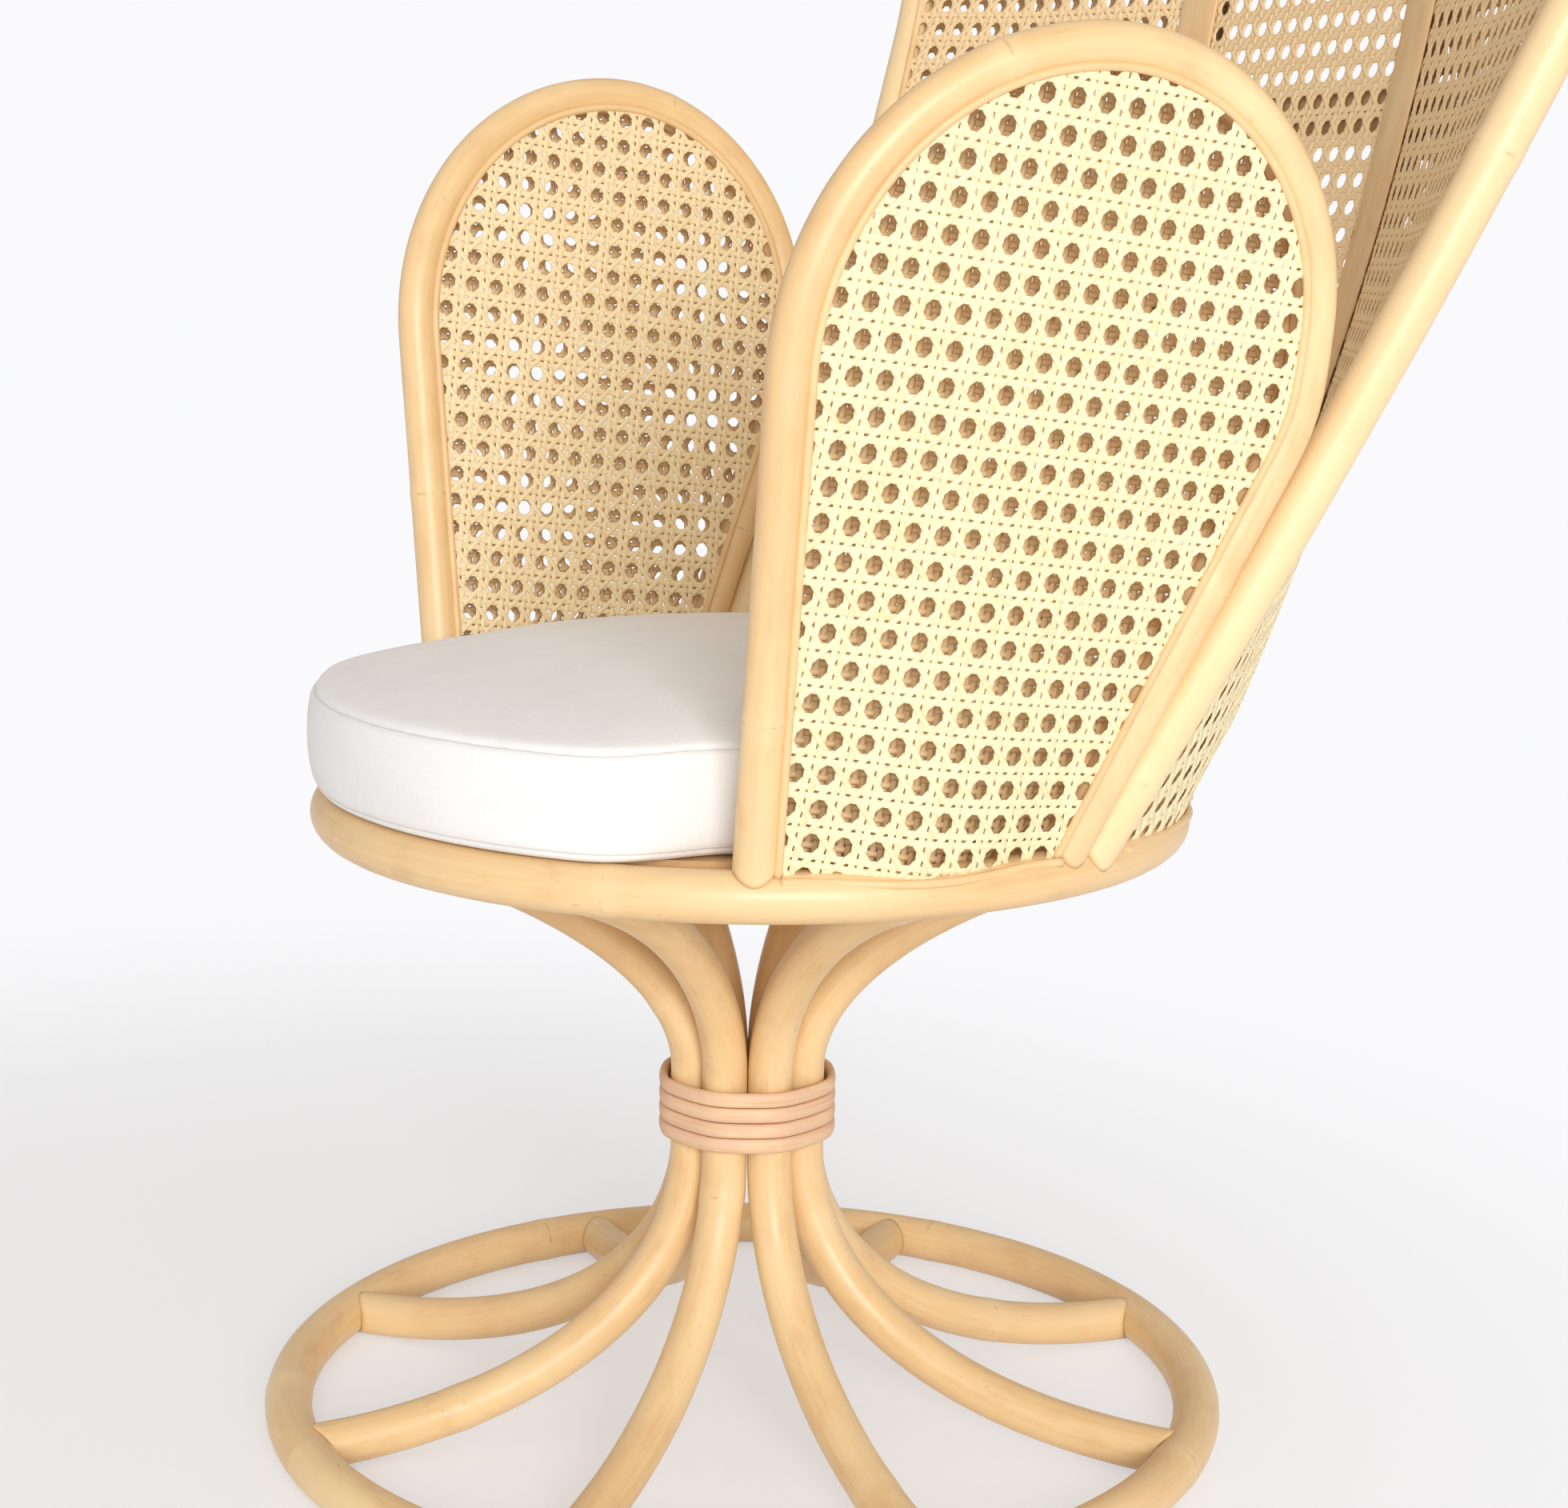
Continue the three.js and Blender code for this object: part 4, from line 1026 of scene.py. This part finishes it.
class CHAIR_OT_legs(Operator):
    """Make the eight legs, coped to both rings"""

    bl_idname = "chair.legs"
    bl_label = "Legs"

    def execute(self, context):
        sizes, colours = settings(context)
        rings = floor_ring_cut(sizes), seat_ring_cut(sizes)
        for k in range(LEG_COUNT):
            track = leg_track(LEG_TURN + k * 360 / LEG_COUNT, sizes)
            pole(f"leg_{k + 1}_pole", f"leg_{k + 1}", pole_finish(colours), track, sizes.leg_pole, sizes,
                 20 + k, rings)
        return {"FINISHED"}


class CHAIR_OT_binding(Operator):
    """Make the strip wound round the legs at the waist"""

    bl_idname = "chair.binding"
    bl_label = "Binding"
    # Turns, their pitch, the degrees over which one climbs to the next, where they start and how high.
    turns, pitch, climb, start, low = 4, 0.0098, 90.0, 285.0, 0.1888
    # Degrees left out at the first and the last end, and from one point to the next.
    first_end, last_end, degrees = 6.0, 4.0, 1.5
    # Gap to the legs, share of a tight strip's outline against a round one, and step along the strip.
    gap, tight, step = 0.0006, 0.45, 0.0016
    # Sides and roundness of the strip's section, the length of its drawn-in ends, and the shares of its
    # thickness and height that are left there.
    sides, roundness, end_length, end_thick, end_high = 20, 2.15, 0.0022, 0.55, 0.8

    def execute(self, context):
        sizes, colours = settings(context)
        along = np.arange(self.first_end, self.turns * 360 - self.climb - self.last_end, self.degrees)
        angle = LEG_TURN + self.start + along
        level = np.floor(along / 360) + ramp(along % 360, 360 - self.climb, 360)
        middle = bound_outline(angle, self.gap + sizes.binding_thickness / 2, sizes)
        reach = self.tight * middle + (1 - self.tight) * middle.max()
        track = Track(around(angle, reach, self.low + level * self.pitch), np.array(UP), self.step)
        settle(self.strip(track, sizes), "frame", "binding", binding_finish(colours), "waist_binding")
        return {"FINISHED"}

    def strip(self, track, sizes):
        """A flat strip with rounded edges: a rounded oblong carried along the winding, drawn in at both
        ends."""
        theta = full_turn(self.sides)
        oblong = lambda wave: np.sign(wave) * np.abs(wave) ** (2 / self.roundness)
        across = oblong(np.cos(theta)) * sizes.binding_thickness / 2
        up = oblong(np.sin(theta)) * sizes.binding_height / 2
        run = track.run[:, None] + 0 * theta
        end = np.minimum(run, track.run[-1] - run) / self.end_length
        full = np.sqrt(1 - np.clip(1 - end, 0, 1) ** 2)
        thick, high = (left + (1 - left) * full for left in (self.end_thick, self.end_high))
        points = track.at(run, across * thick, up * high)
        return skin("waist_binding_strip", points, {"fibre": stacked(across, up, run)})


class CHAIR_OT_arms(Operator):
    """Make the arms' poles with the thin rods along their cane"""

    bl_idname = "chair.arms"
    bl_label = "Arm poles"
    # Distance of the edge rods inside the pole's middle line, their lowest point, and the sill rod's place.
    bead_inset, bead_low = 0.0098, 0.013
    sill_ends, sill_height, sill_out = (0.010, 0.002), 0.0121, 0.0125

    def execute(self, context):
        sizes, colours = settings(context)
        arm, rings = ArmForm(sizes), (seat_ring_cut(sizes),) * 2
        out = math.sqrt((sizes.arm_pole + sizes.trim_rod / 2) ** 2 - self.bead_inset ** 2)
        bead = inset(arm.path, self.bead_inset)
        bead = bead[bead[:, 1] > self.bead_low].T
        sill = np.linspace(self.sill_ends[0] - arm.foot, arm.foot - self.sill_ends[1], 60)
        for side, flip in SIDES:
            seed = 40 + 10 * flip
            track = Track(arm.point(*arm.path.T, 0.0), arm.outward)
            pole(f"{side}_arm_pole", f"{side}_arm_frame", pole_finish(colours), track, sizes.arm_pole, sizes,
                 seed, rings, flip=flip)
            for k, (layer, sign) in enumerate(LAYERS):
                track = Track(arm.point(*bead, sign * out), arm.outward)
                rod(f"{side}_arm_rod_{layer}", f"{side}_arm_bead_{layer}", track, sizes, colours,
                    seed + 1 + k, flip)
            track = Track(arm.cane_point(sill, self.sill_height, self.sill_out), arm.outward)
            rod(f"{side}_arm_sill_rod", f"{side}_arm_sill", track, sizes, colours, seed + 4, flip)
        return {"FINISHED"}


class CHAIR_OT_arm_cane(Operator):
    """Weave the two layers of cane in each arm"""

    bl_idname = "chair.arm_cane"
    bl_label = "Arm cane"
    # A hole and the steps to the next column and the next row up, for each arm's layers.
    lattices = {
        ("left", "outer"): ((0.00802, 0.25390), (0.01708, -0.00205), (0.00302, 0.01879)),
        ("left", "inner"): ((0.02543, 0.25718), (0.01708, -0.00205), (0.00302, 0.01879)),
        ("right", "inner"): ((-0.01661, 0.29226), (0.01779, -0.00220), (0.00314, 0.01812)),
        ("right", "outer"): ((-0.01280, 0.29296), (0.01750, 0.00015), (-0.00016, 0.01850)),
    }
    # How far each layer's inner and outer side have the colour of the chair's outer face.
    tones = {"outer": (0.0, 1.0), "inner": (0.55, 0.2)}
    # The cane's edge inside the pole's middle line, and its lower end.
    edge, low = 0.0090, 0.0125

    def execute(self, context):
        sizes, colours = settings(context)
        arm = ArmForm(sizes)
        outline = arm.outline(self.edge, self.low)
        for k, ((side, layer), lattice) in enumerate(self.lattices.items()):
            offset = sizes.arm_cane_offset * dict(LAYERS)[layer]
            spot = lambda u, v, w: arm.cane_point(u, v, w + offset)
            weave(f"{side}_arm_weave_{layer}", f"{side}_arm_cane_{layer}", outline, lattice, spot, sizes,
                  colours, 60 + k, self.tones[layer], layer == "inner", side == "right")
        return {"FINISHED"}


class CHAIR_OT_back(Operator):
    """Make the back's arch, ribs, strips, braces and thin rods"""

    bl_idname = "chair.back"
    bl_label = "Back poles"
    # The edge rod's distance inside the arch's line and its lowest point.
    bead_inset, bead_low = 0.0100, 0.013
    # How far the braces and sills lie behind the mid surface, in the middle and at the sides, the sills'
    # heights, and how far the side braces and sills end short of the arch.
    brace_behind, sill_behind, sill_heights = (0.0096, 0.0102), (0.0056, 0.0125), (0.0172, 0.0121)
    brace_short, sill_short = 0.04515, 0.010
    # Lower end of a band, how far it ends below the arch, how far its edges and its rear stand off the
    # panels, and the sides of its section.
    band_low, band_short, band_edge, band_rear, band_sides = 0.010, 0.006, 0.0016, 0.0012, 24

    def execute(self, context):
        sizes, colours = settings(context)
        back, rib = BackForm(sizes), sizes.rib_pole
        # The ribs and braces are painted dark brown as the shade of the cane in front of them; the crease
        # bands take a little of it as a darker tint.
        shade_and_tint = pole_finish(colours, "rough pole", shade_and_tint=0.8)
        band = pole_finish(colours, "crease band", deeper=0.25, shade_and_tint=0.12)
        half = back.path
        mirrored = lambda path, skip: np.concatenate([path, (path * (-1, 1))[::-1][skip:]])
        level = lambda start, end, height: stacked(np.linspace(start, end, 50), height)
        # The arch pole is painted paler all over: painted light, as if more lit than the other poles.
        arch, pale = self.beside(back, mirrored(half, 1), 0.0), pole_finish(colours, "pale pole", painted_light=0.6)
        rings = (seat_ring_cut(sizes),) * 2
        pole("back_arch_pole", "back_arch", pale, arch, sizes.arch_pole, sizes, 70, rings)
        bead = back.edge(self.bead_inset)
        bead = mirrored(bead[(bead[:, 1] > self.bead_low) & (bead[:, 0] > 0)], 0)
        beside = np.minimum(back.short(*bead.T), sizes.arch_pole)
        over = np.sqrt((sizes.arch_pole + sizes.trim_rod / 2) ** 2 - beside ** 2)
        over = np.maximum(over, back.drawn(*bead.T))
        rod("back_arch_rod", "back_bead", self.beside(back, bead, -over), sizes, colours, 71)
        brace = np.array([[-back.crease, back.brace + rib], [back.crease, back.brace + rib]])
        brace = self.beside(back, brace, self.brace_behind[0])
        pole("back_brace_pole", "back_brace_centre", shade_and_tint, brace, rib, sizes, 72, oval=2.0, sides=RIB_SIDES)
        sill = level(-back.crease, back.crease, self.sill_heights[0])
        sill = self.beside(back, sill, self.sill_behind[0])
        rod("back_sill_rod", "back_sill_centre", sill, sizes, colours, 73)
        top = np.interp(back.crease, half[::-1, 0], half[::-1, 1])
        arch_x = np.interp(back.brace, half[:, 1], half[:, 0])
        brace = np.array([[back.crease, back.brace], [arch_x - self.brace_short, back.brace]])
        sill = level(back.crease, back.foot[0] - self.sill_short, self.sill_heights[1])
        brace = self.beside(back, brace, self.brace_behind[1])
        sill = self.beside(back, sill, self.sill_behind[1])
        for side, flip in SIDES:
            seed = 80 + 10 * flip
            track, shape = back.crease_track(back.rib_low, top, rib=True), {"sides": RIB_SIDES, "flip": flip}
            pole(f"{side}_rib_pole", f"back_rib_{side}", shade_and_tint, track, rib, sizes, seed, **shape)
            piece = self.band(f"{side}_crease_band", top - self.band_short, back, sizes, seed + 1, flip)
            settle(piece, "frame", "trim", band, f"back_strip_{side}")
            pole(f"{side}_brace_pole", f"back_brace_{side}", shade_and_tint, brace, rib, sizes, seed + 2, **shape)
            rod(f"{side}_back_sill_rod", f"back_sill_{side}", sill, sizes, colours, seed + 3, flip)
        return {"FINISHED"}

    def beside(self, back, path, offset):
        """A line of the back moved outward, with the back's outward direction as up."""
        return Track(back.point(*path.T, offset), back.outward(*path.T))

    def band(self, name, high, back, sizes, seed, flip):
        """A band that bridges a crease on the sitter's side: flat against both panels behind, a little bowed
        in front."""
        track = back.crease_track(self.band_low, high)
        h = track.place[:, 2] - back.base
        slope, drawn = back.crease_slope(h)[:, None], back.drawn(back.crease, h)[:, None]
        theta, half = full_turn(self.band_sides), sizes.strip_width / 2
        across = half * np.cos(theta) + 0 * slope
        bowed = -half * slope - self.band_edge - sizes.strip_bow * np.abs(np.sin(theta))
        rise = np.where(np.sin(theta) > 0, -np.abs(across) * slope - self.band_rear, bowed)
        run = track.run[:, None] + 0 * theta
        marks = {"fibre": stacked(across, rise, run + FIBRE_STEP * seed), "knot": 1 + 0 * run[..., None]}
        return skin(name, track.at(run, across, rise - drawn), marks, flip=flip)


class CHAIR_OT_back_cane(Operator):
    """Weave the cane of the back's three panels"""

    bl_idname = "chair.back_cane"
    bl_label = "Back cane"
    # A hole and the steps to the next column and the next row up, for the middle and the sides.
    middle_lattice = (0.09798, 0.5229), (0.01606, 0.00019), (0.00149, 0.01769)
    side_lattice = (0.0085, 0.3), (0.0162, 0.0), (0.0006, 0.0178)
    # Lower ends of the inner and the outer layer, and how far the outer one goes on beyond the crease.
    inner_low, outer_low, outer_past = 0.0145, 0.009, 0.032

    def execute(self, context):
        sizes, colours = settings(context)
        back, lattice = BackForm(sizes), self.side_lattice
        middle, inner = (back.outline(side, self.inner_low) for side in (False, True))
        weave("back_weave_centre", "back_cane_centre", middle, self.middle_lattice, back.cane_point, sizes,
              colours, 95, inward=True)
        outer = back.outline(True, self.outer_low, self.outer_past)
        for side, flip in SIDES:
            node = f"back_cane_{side}"
            weave(f"back_weave_{side}_inner", node, inner, lattice, back.side_cane_point, sizes, colours,
                  96 + flip, tones=(0.0, 0.0), inward=True, flip=flip)
            weave(f"back_weave_{side}_outer", node, outer, lattice, back.wrapped_point, sizes, colours,
                  98 + flip, flip=flip)
        return {"FINISHED"}


class CHAIR_OT_cushion(Operator):
    """Make the boxed seat cushion and let its filling swell its cover"""

    bl_idname = "chair.cushion"
    bl_label = "Cushion"
    # Columns of points round it, the reach by which shares are measured as lengths, and where its rows begin.
    columns, mean_reach, middle = 320, 0.25, 0.012
    # Heights of the upper seam and the crown, the seams' share of the reach, and the lower seam's height.
    box, crown, seam, lower_seam = 0.063, 0.096, 0.962, 0.004
    # The section's handles: shares before the lower seam at which the underside turns up and the height
    # there, heights on the side, shares on the top, and how far the first of these lies below the crown.
    turn_shares, turn_height, side_heights = (0.06, 0.02), 0.0013, (0.020, 0.048)
    top_shares, top_drop = (0.82, 0.45), 0.009
    # Reach at the front, how much less it is beside, from which angle on the left and right, and to which.
    front_reach, side_less, reach_from, reach_to = 0.2805, 0.0425, (44, 30), 61
    # How far the right edge is pressed up, and the angles over which that begins and ends.
    press, press_on, press_off = 0.006, (15, 72), (120, 175)
    # Shares of the reach over which the middle's level goes over into the pressed edge's.
    press_shares = 0.25, 0.9
    # How far the side bulges, as a share of the reach. Before the swelling it bulges less, the crown is lower
    # and the reach is a little smaller.
    bulge, slack_bulge, slack_crown, slack_reach = 0.050, 0.020, 0.008, 0.992
    # Size of the simulated cover's faces, pressure, frames, and how far its shape is carried over.
    voxel, pressure, frames, carry = 0.005, 4.0, 20, 0.03
    # What the simulation holds: all below a height, and a band on the upper seam beyond a share of the reach.
    held_below, held_share, held_band = 0.003, 0.93, 0.004
    # Rounds of smoothing, how far the cover may pass its reach at the front, the angles over which that ends,
    # and the gap that it keeps to the arms and the deck.
    rounds, spare, spare_angles, gap = 6, 0.004, (30, 55), 0.0005
    # Half width of a seam's groove, and the lower seam's depth against the upper one's.
    seam_width, lower_depth = 0.0026, 0.35
    # How uneven the seams are, and how often that repeats round the cushion: two waves' beat and a ripple.
    beat, beat_waves, ripple, ripple_waves = 0.25, (61, 23), 0.15, 131

    def profile(self, spread, crown):
        """Half the cushion's section as shares of its reach and heights: flat below, a bulging side between
        two seams, a crowned top. Returns it with the distance of every point from the nearer seam."""
        seam, box, low, middle = self.seam, self.box, self.lower_seam, self.middle
        flat, near = (seam - share for share in self.turn_shares)
        first, second = (seam * share for share in self.top_shares)
        under = line((middle, 0.0), (flat, 0.0), 40)
        turn = bezier((flat, 0), (near, 0), (seam, self.turn_height), (seam, low), count=12)
        bulging = ((seam + spread, height) for height in self.side_heights)
        side = bezier((seam, low), *bulging, (seam, box), count=46)
        top = bezier((seam, box), (first, crown - self.top_drop), (second, crown), (middle, crown), count=90)
        path = joined(under, turn, side, top)
        run = arc(path * (self.mean_reach, 1.0))
        lower = len(under) + len(turn) - 2
        return path, run - run[lower], run - run[lower + len(side) - 1]

    def reach(self, angle):
        """Distance of the cushion's edge from the axis: further at the front, clear of the arms beside."""
        start = np.where(angle > 0, *self.reach_from)
        return self.front_reach - self.side_less * ramp(np.abs(angle), start, self.reach_to)

    def pressed(self, angle):
        """How far the cushion's edge is pressed up where it leans on the right arm."""
        return self.press * ramp(-angle, *self.press_on) * (1 - ramp(-angle, *self.press_off))

    def shell(self, path):
        """Turns the section round the axis; its edge rises where it is pressed up, its middle doesn't."""
        angle = -180 + np.arange(self.columns) / self.columns * 360
        share, height = path[:, :1], path[:, 1:]
        rise = np.minimum(height / self.box, 1) * ramp(share, *self.press_shares) * self.pressed(angle)
        return around(angle, share * self.reach(angle), SEAT_TOP + height + rise)

    def execute(self, context):
        sizes, colours = settings(context)
        path, from_lower, from_upper = self.profile(self.bulge, self.crown)
        points = self.shell(path)
        cloth = self.cloth_places(points, from_lower, from_upper)
        piece = skin("seat_cushion_cover", points, {"cloth": cloth}, flat=())
        points = self.swollen(piece, points, sizes)
        put(piece.data, with_middles(self.sewn(points, from_lower, from_upper, sizes)))
        settle(piece, "cushion", "cushion_cover", cover_finish(colours), "seat_cushion")
        return {"FINISHED"}

    def cloth_places(self, points, from_lower, from_upper):
        """Where each point lies on the cloth before sewing: flat across the top, round and up on the side."""
        side = ((from_lower > 0) & (from_upper < 0))[:, None, None]
        x, y, z = np.moveaxis(points, -1, 0)
        return np.where(side, stacked(full_turn(self.columns) * self.mean_reach, z, 1.0), stacked(x, y, 0.0))

    def swollen(self, piece, points, sizes):
        """Simulates the cover as cloth under the filling's pressure. The start is a little smaller; the
        underside and both seams are held; no point moves further than the swelling allows."""
        scene = bpy.context.scene
        slack = self.profile(self.slack_bulge, self.crown - self.slack_crown)[0] * (self.slack_reach, 1.0)
        body = bpy.data.objects.new("cushion_start", piece.data.copy())
        scene.collection.objects.link(body)
        put(body.data, with_middles(self.shell(slack)))
        remesh = body.modifiers.new("Remesh", "REMESH")
        remesh.mode, remesh.voxel_size = "VOXEL", self.voxel
        mesh = shaped(body)
        soft = bpy.data.objects.new("cushion_soft", mesh)
        scene.collection.objects.link(soft)
        rest = places(mesh)
        angle, radius = bearing(rest)
        height = rest[:, 2] - SEAT_TOP
        on_seam = np.abs(height - self.box - self.pressed(angle)) < self.held_band
        held = (height < self.held_below) | ((radius / self.reach(angle) > self.held_share) & on_seam)
        soft.vertex_groups.new(name="held").add(np.nonzero(held)[0].tolist(), 1.0, "REPLACE")
        cloth = soft.modifiers.new("Cloth", "CLOTH")
        cloth.settings.use_pressure, cloth.settings.uniform_pressure_force = True, self.pressure
        cloth.settings.effector_weights.gravity = 0.0
        cloth.settings.vertex_group_mass = "held"
        cloth.point_cache.frame_start, cloth.point_cache.frame_end = 1, self.frames
        for step in range(1, self.frames + 1):
            scene.frame_set(step)
        moved = places(shaped(soft)) - rest
        far = np.linalg.norm(moved, axis=1, keepdims=True)
        moved *= np.minimum(1.0, sizes.cushion_swell / np.maximum(far, 1e-9))
        soft.modifiers.clear()
        put(mesh, rest + moved)
        scene.frame_set(1)
        wrap = piece.modifiers.new("Shrinkwrap", "SHRINKWRAP")
        wrap.target, wrap.wrap_method, wrap.project_limit = soft, "PROJECT", self.carry
        wrap.use_negative_direction = wrap.use_positive_direction = True
        wrapped = places(shaped(piece))[:-2].reshape(points.shape)
        piece.modifiers.clear()
        for leftover in (body, soft):
            bpy.data.objects.remove(leftover)
        return self.eased(wrapped, points)

    def eased(self, wrapped, points):
        """Smooths the swollen cover along both directions; keeps it clear of the arms and above the deck."""
        for _ in range(self.rounds):
            wrapped = (np.roll(wrapped, 1, 1) + 2 * wrapped + np.roll(wrapped, -1, 1)) / 4
            wrapped[1:-1] = (wrapped[:-2] + 2 * wrapped[1:-1] + wrapped[2:]) / 4
        angle, radius = bearing(wrapped)
        most = self.reach(angle) + self.spare * (1 - ramp(np.abs(angle), *self.spare_angles)) - self.gap
        height = np.maximum(wrapped[..., 2], np.minimum(points[..., 2], SEAT_TOP + self.gap))
        return around(angle, np.minimum(radius, most), height)

    def sewn(self, points, from_lower, from_upper, sizes):
        """Draws the cover in along both seams, a little unevenly, by a groove of bell shape."""
        turn = full_turn(self.columns)
        often, seldom = self.beat_waves
        pucker = 1 + self.beat * np.sin(often * turn) * np.sin(seldom * turn + 1.0)
        pucker = pucker + self.ripple * np.sin(self.ripple_waves * turn)
        depth = bell(from_upper, self.seam_width) + self.lower_depth * bell(from_lower, self.seam_width)
        across = np.roll(points, -1, 1) - np.roll(points, 1, 1)
        inward = unit(np.cross(np.gradient(points, axis=0), across) + 1e-12)
        return points + inward * (sizes.seam_depth * depth[:, None] * pucker)[..., None]


class CHAIR_OT_joinery(Operator):
    """Finish the seat board and the pins that join the legs to the rings"""

    bl_idname = "chair.joinery"
    bl_label = "Board and pins"

    def execute(self, context):
        pins = [f"leg_{k + 1}_{end}_pin" for k in range(LEG_COUNT) for end in ("floor", "seat")]
        for name in ["seat_deck"] + pins:
            coat(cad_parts[name], board_finish(context.scene.chair_colours))
        return {"FINISHED"}


class CHAIR_OT_stage(Operator):
    """Set up the floor, the soft lights, the background and the camera"""

    bl_idname = "chair.stage"
    bl_label = "Stage"
    # Place, target and size of each lamp.
    key_light = (6.0, -1.95, 2.17), (0.0, 0.0, 0.6), (3.0, 2.0)
    fill_light = (-0.6, -2.8, 1.3), (0.0, 0.0, 0.5), (2.0, 2.0)
    room_light = tint(255, 251, 246)
    camera_place, camera_forward = (1.4979, -0.8279, 0.7336), (-0.8721, 0.4549, -0.1804)
    camera_roll, sensor = math.radians(0.85), 36.0

    def execute(self, context):
        scene, stage, colours = context.scene, context.scene.chair_stage, context.scene.chair_colours
        scene.view_settings.view_transform = "Standard"
        self.floor(colours)
        self.background(scene, stage, colours)
        self.lamp(scene, "key_light", *self.key_light, stage.key)
        self.lamp(scene, "fill_light", *self.fill_light, stage.fill)
        self.camera(scene, stage)
        return {"FINISHED"}

    def floor(self, colours):
        """A wide level disc: rings of growing radius round the origin."""
        radius = np.concatenate([[0.02], np.geomspace(0.1, 40.0, 40)])[::-1, None]
        turn = full_turn(96)
        points = stacked(radius * np.cos(turn), radius * np.sin(turn), 0.0)
        middle = np.arange(points[:-1].size // 3, points.size // 3)[None, ::-1]
        disc = new_piece("floor", points, [wall(len(radius), len(turn)), middle])
        coat(disc, floor_finish(colours))

    def background(self, scene, stage, colours):
        """Light from all round, in whose place the camera sees the floor's own white."""
        scene.world = bpy.data.worlds.new("studio")
        sky = Finish(scene.world)
        room = sky.value("ShaderNodeBackground", None, {"Color": self.room_light, "Strength": stage.sky})
        shown = sky.value("ShaderNodeBackground", None, {"Color": colours.floor, "Strength": 1.0})
        seen = (sky.ray("Camera") + sky.ray("Transmission")).rise(0.0, 1.0)
        sky.blended("World Output", seen, room, shown)

    def add(self, scene, name, data, place, forward, up):
        """Puts a camera or lamp at a place so that it looks along forward with the given up."""
        forward = unit(np.array(forward, float))
        right = unit(np.cross(forward, up))
        matrix = np.eye(4)
        matrix[:3, :3] = stacked(right, np.cross(right, forward), -forward)
        matrix[:3, 3] = place
        thing = bpy.data.objects.new(name, data)
        scene.collection.objects.link(thing)
        thing.matrix_world = Matrix(matrix.tolist())
        return thing

    def lamp(self, scene, name, place, target, size, power):
        lamp = bpy.data.lights.new(name, "AREA")
        lamp.shape, lamp.energy = "RECTANGLE", power
        lamp.size, lamp.size_y = size
        self.add(scene, name, lamp, place, np.subtract(target, place), UP)

    def camera(self, scene, stage):
        """Stands in front of the near arm, a little above the seat, and is rolled slightly."""
        camera = bpy.data.cameras.new("camera")
        camera.lens, camera.sensor_width, camera.sensor_fit = stage.lens, self.sensor, "HORIZONTAL"
        forward = unit(np.array(self.camera_forward))
        right = unit(np.cross(forward, UP))
        up = np.cross(right, forward) * math.cos(self.camera_roll) - right * math.sin(self.camera_roll)
        scene.camera = self.add(scene, "camera", camera, self.camera_place, forward, up)


OPERATORS = (
    CHAIR_OT_rings, CHAIR_OT_legs, CHAIR_OT_binding, CHAIR_OT_arms, CHAIR_OT_arm_cane, CHAIR_OT_back,
    CHAIR_OT_back_cane, CHAIR_OT_cushion, CHAIR_OT_joinery, CHAIR_OT_stage)


class CHAIR_PT_sidebar(Panel):
    """Lists the chair's pieces, sizes and colours"""

    bl_idname = "CHAIR_PT_sidebar"
    bl_label = "Peacock chair"
    bl_space_type = "VIEW_3D"
    bl_region_type = "UI"
    bl_category = "Chair"

    def draw(self, context):
        for operator in OPERATORS:
            self.layout.operator(operator.bl_idname)
        for group in (context.scene.chair_sizes, context.scene.chair_colours, context.scene.chair_stage):
            column = self.layout.column()
            for key in group.__annotations__:
                column.prop(group, key)


GROUPS = {"chair_sizes": ChairSizes, "chair_colours": ChairColours, "chair_stage": ChairStage}


def register():
    for group in (*GROUPS.values(), *OPERATORS, CHAIR_PT_sidebar):
        bpy.utils.register_class(group)
    for key, group in GROUPS.items():
        setattr(bpy.types.Scene, key, PointerProperty(type=group))


def unregister():
    for key in GROUPS:
        delattr(bpy.types.Scene, key)
    for group in (CHAIR_PT_sidebar, *reversed(OPERATORS), *GROUPS.values()):
        bpy.utils.unregister_class(group)


def main():
    register()
    for operator in OPERATORS:
        family, name = operator.bl_idname.split(".")
        getattr(getattr(bpy.ops, family), name)()


if __name__ == "__main__":
    main()
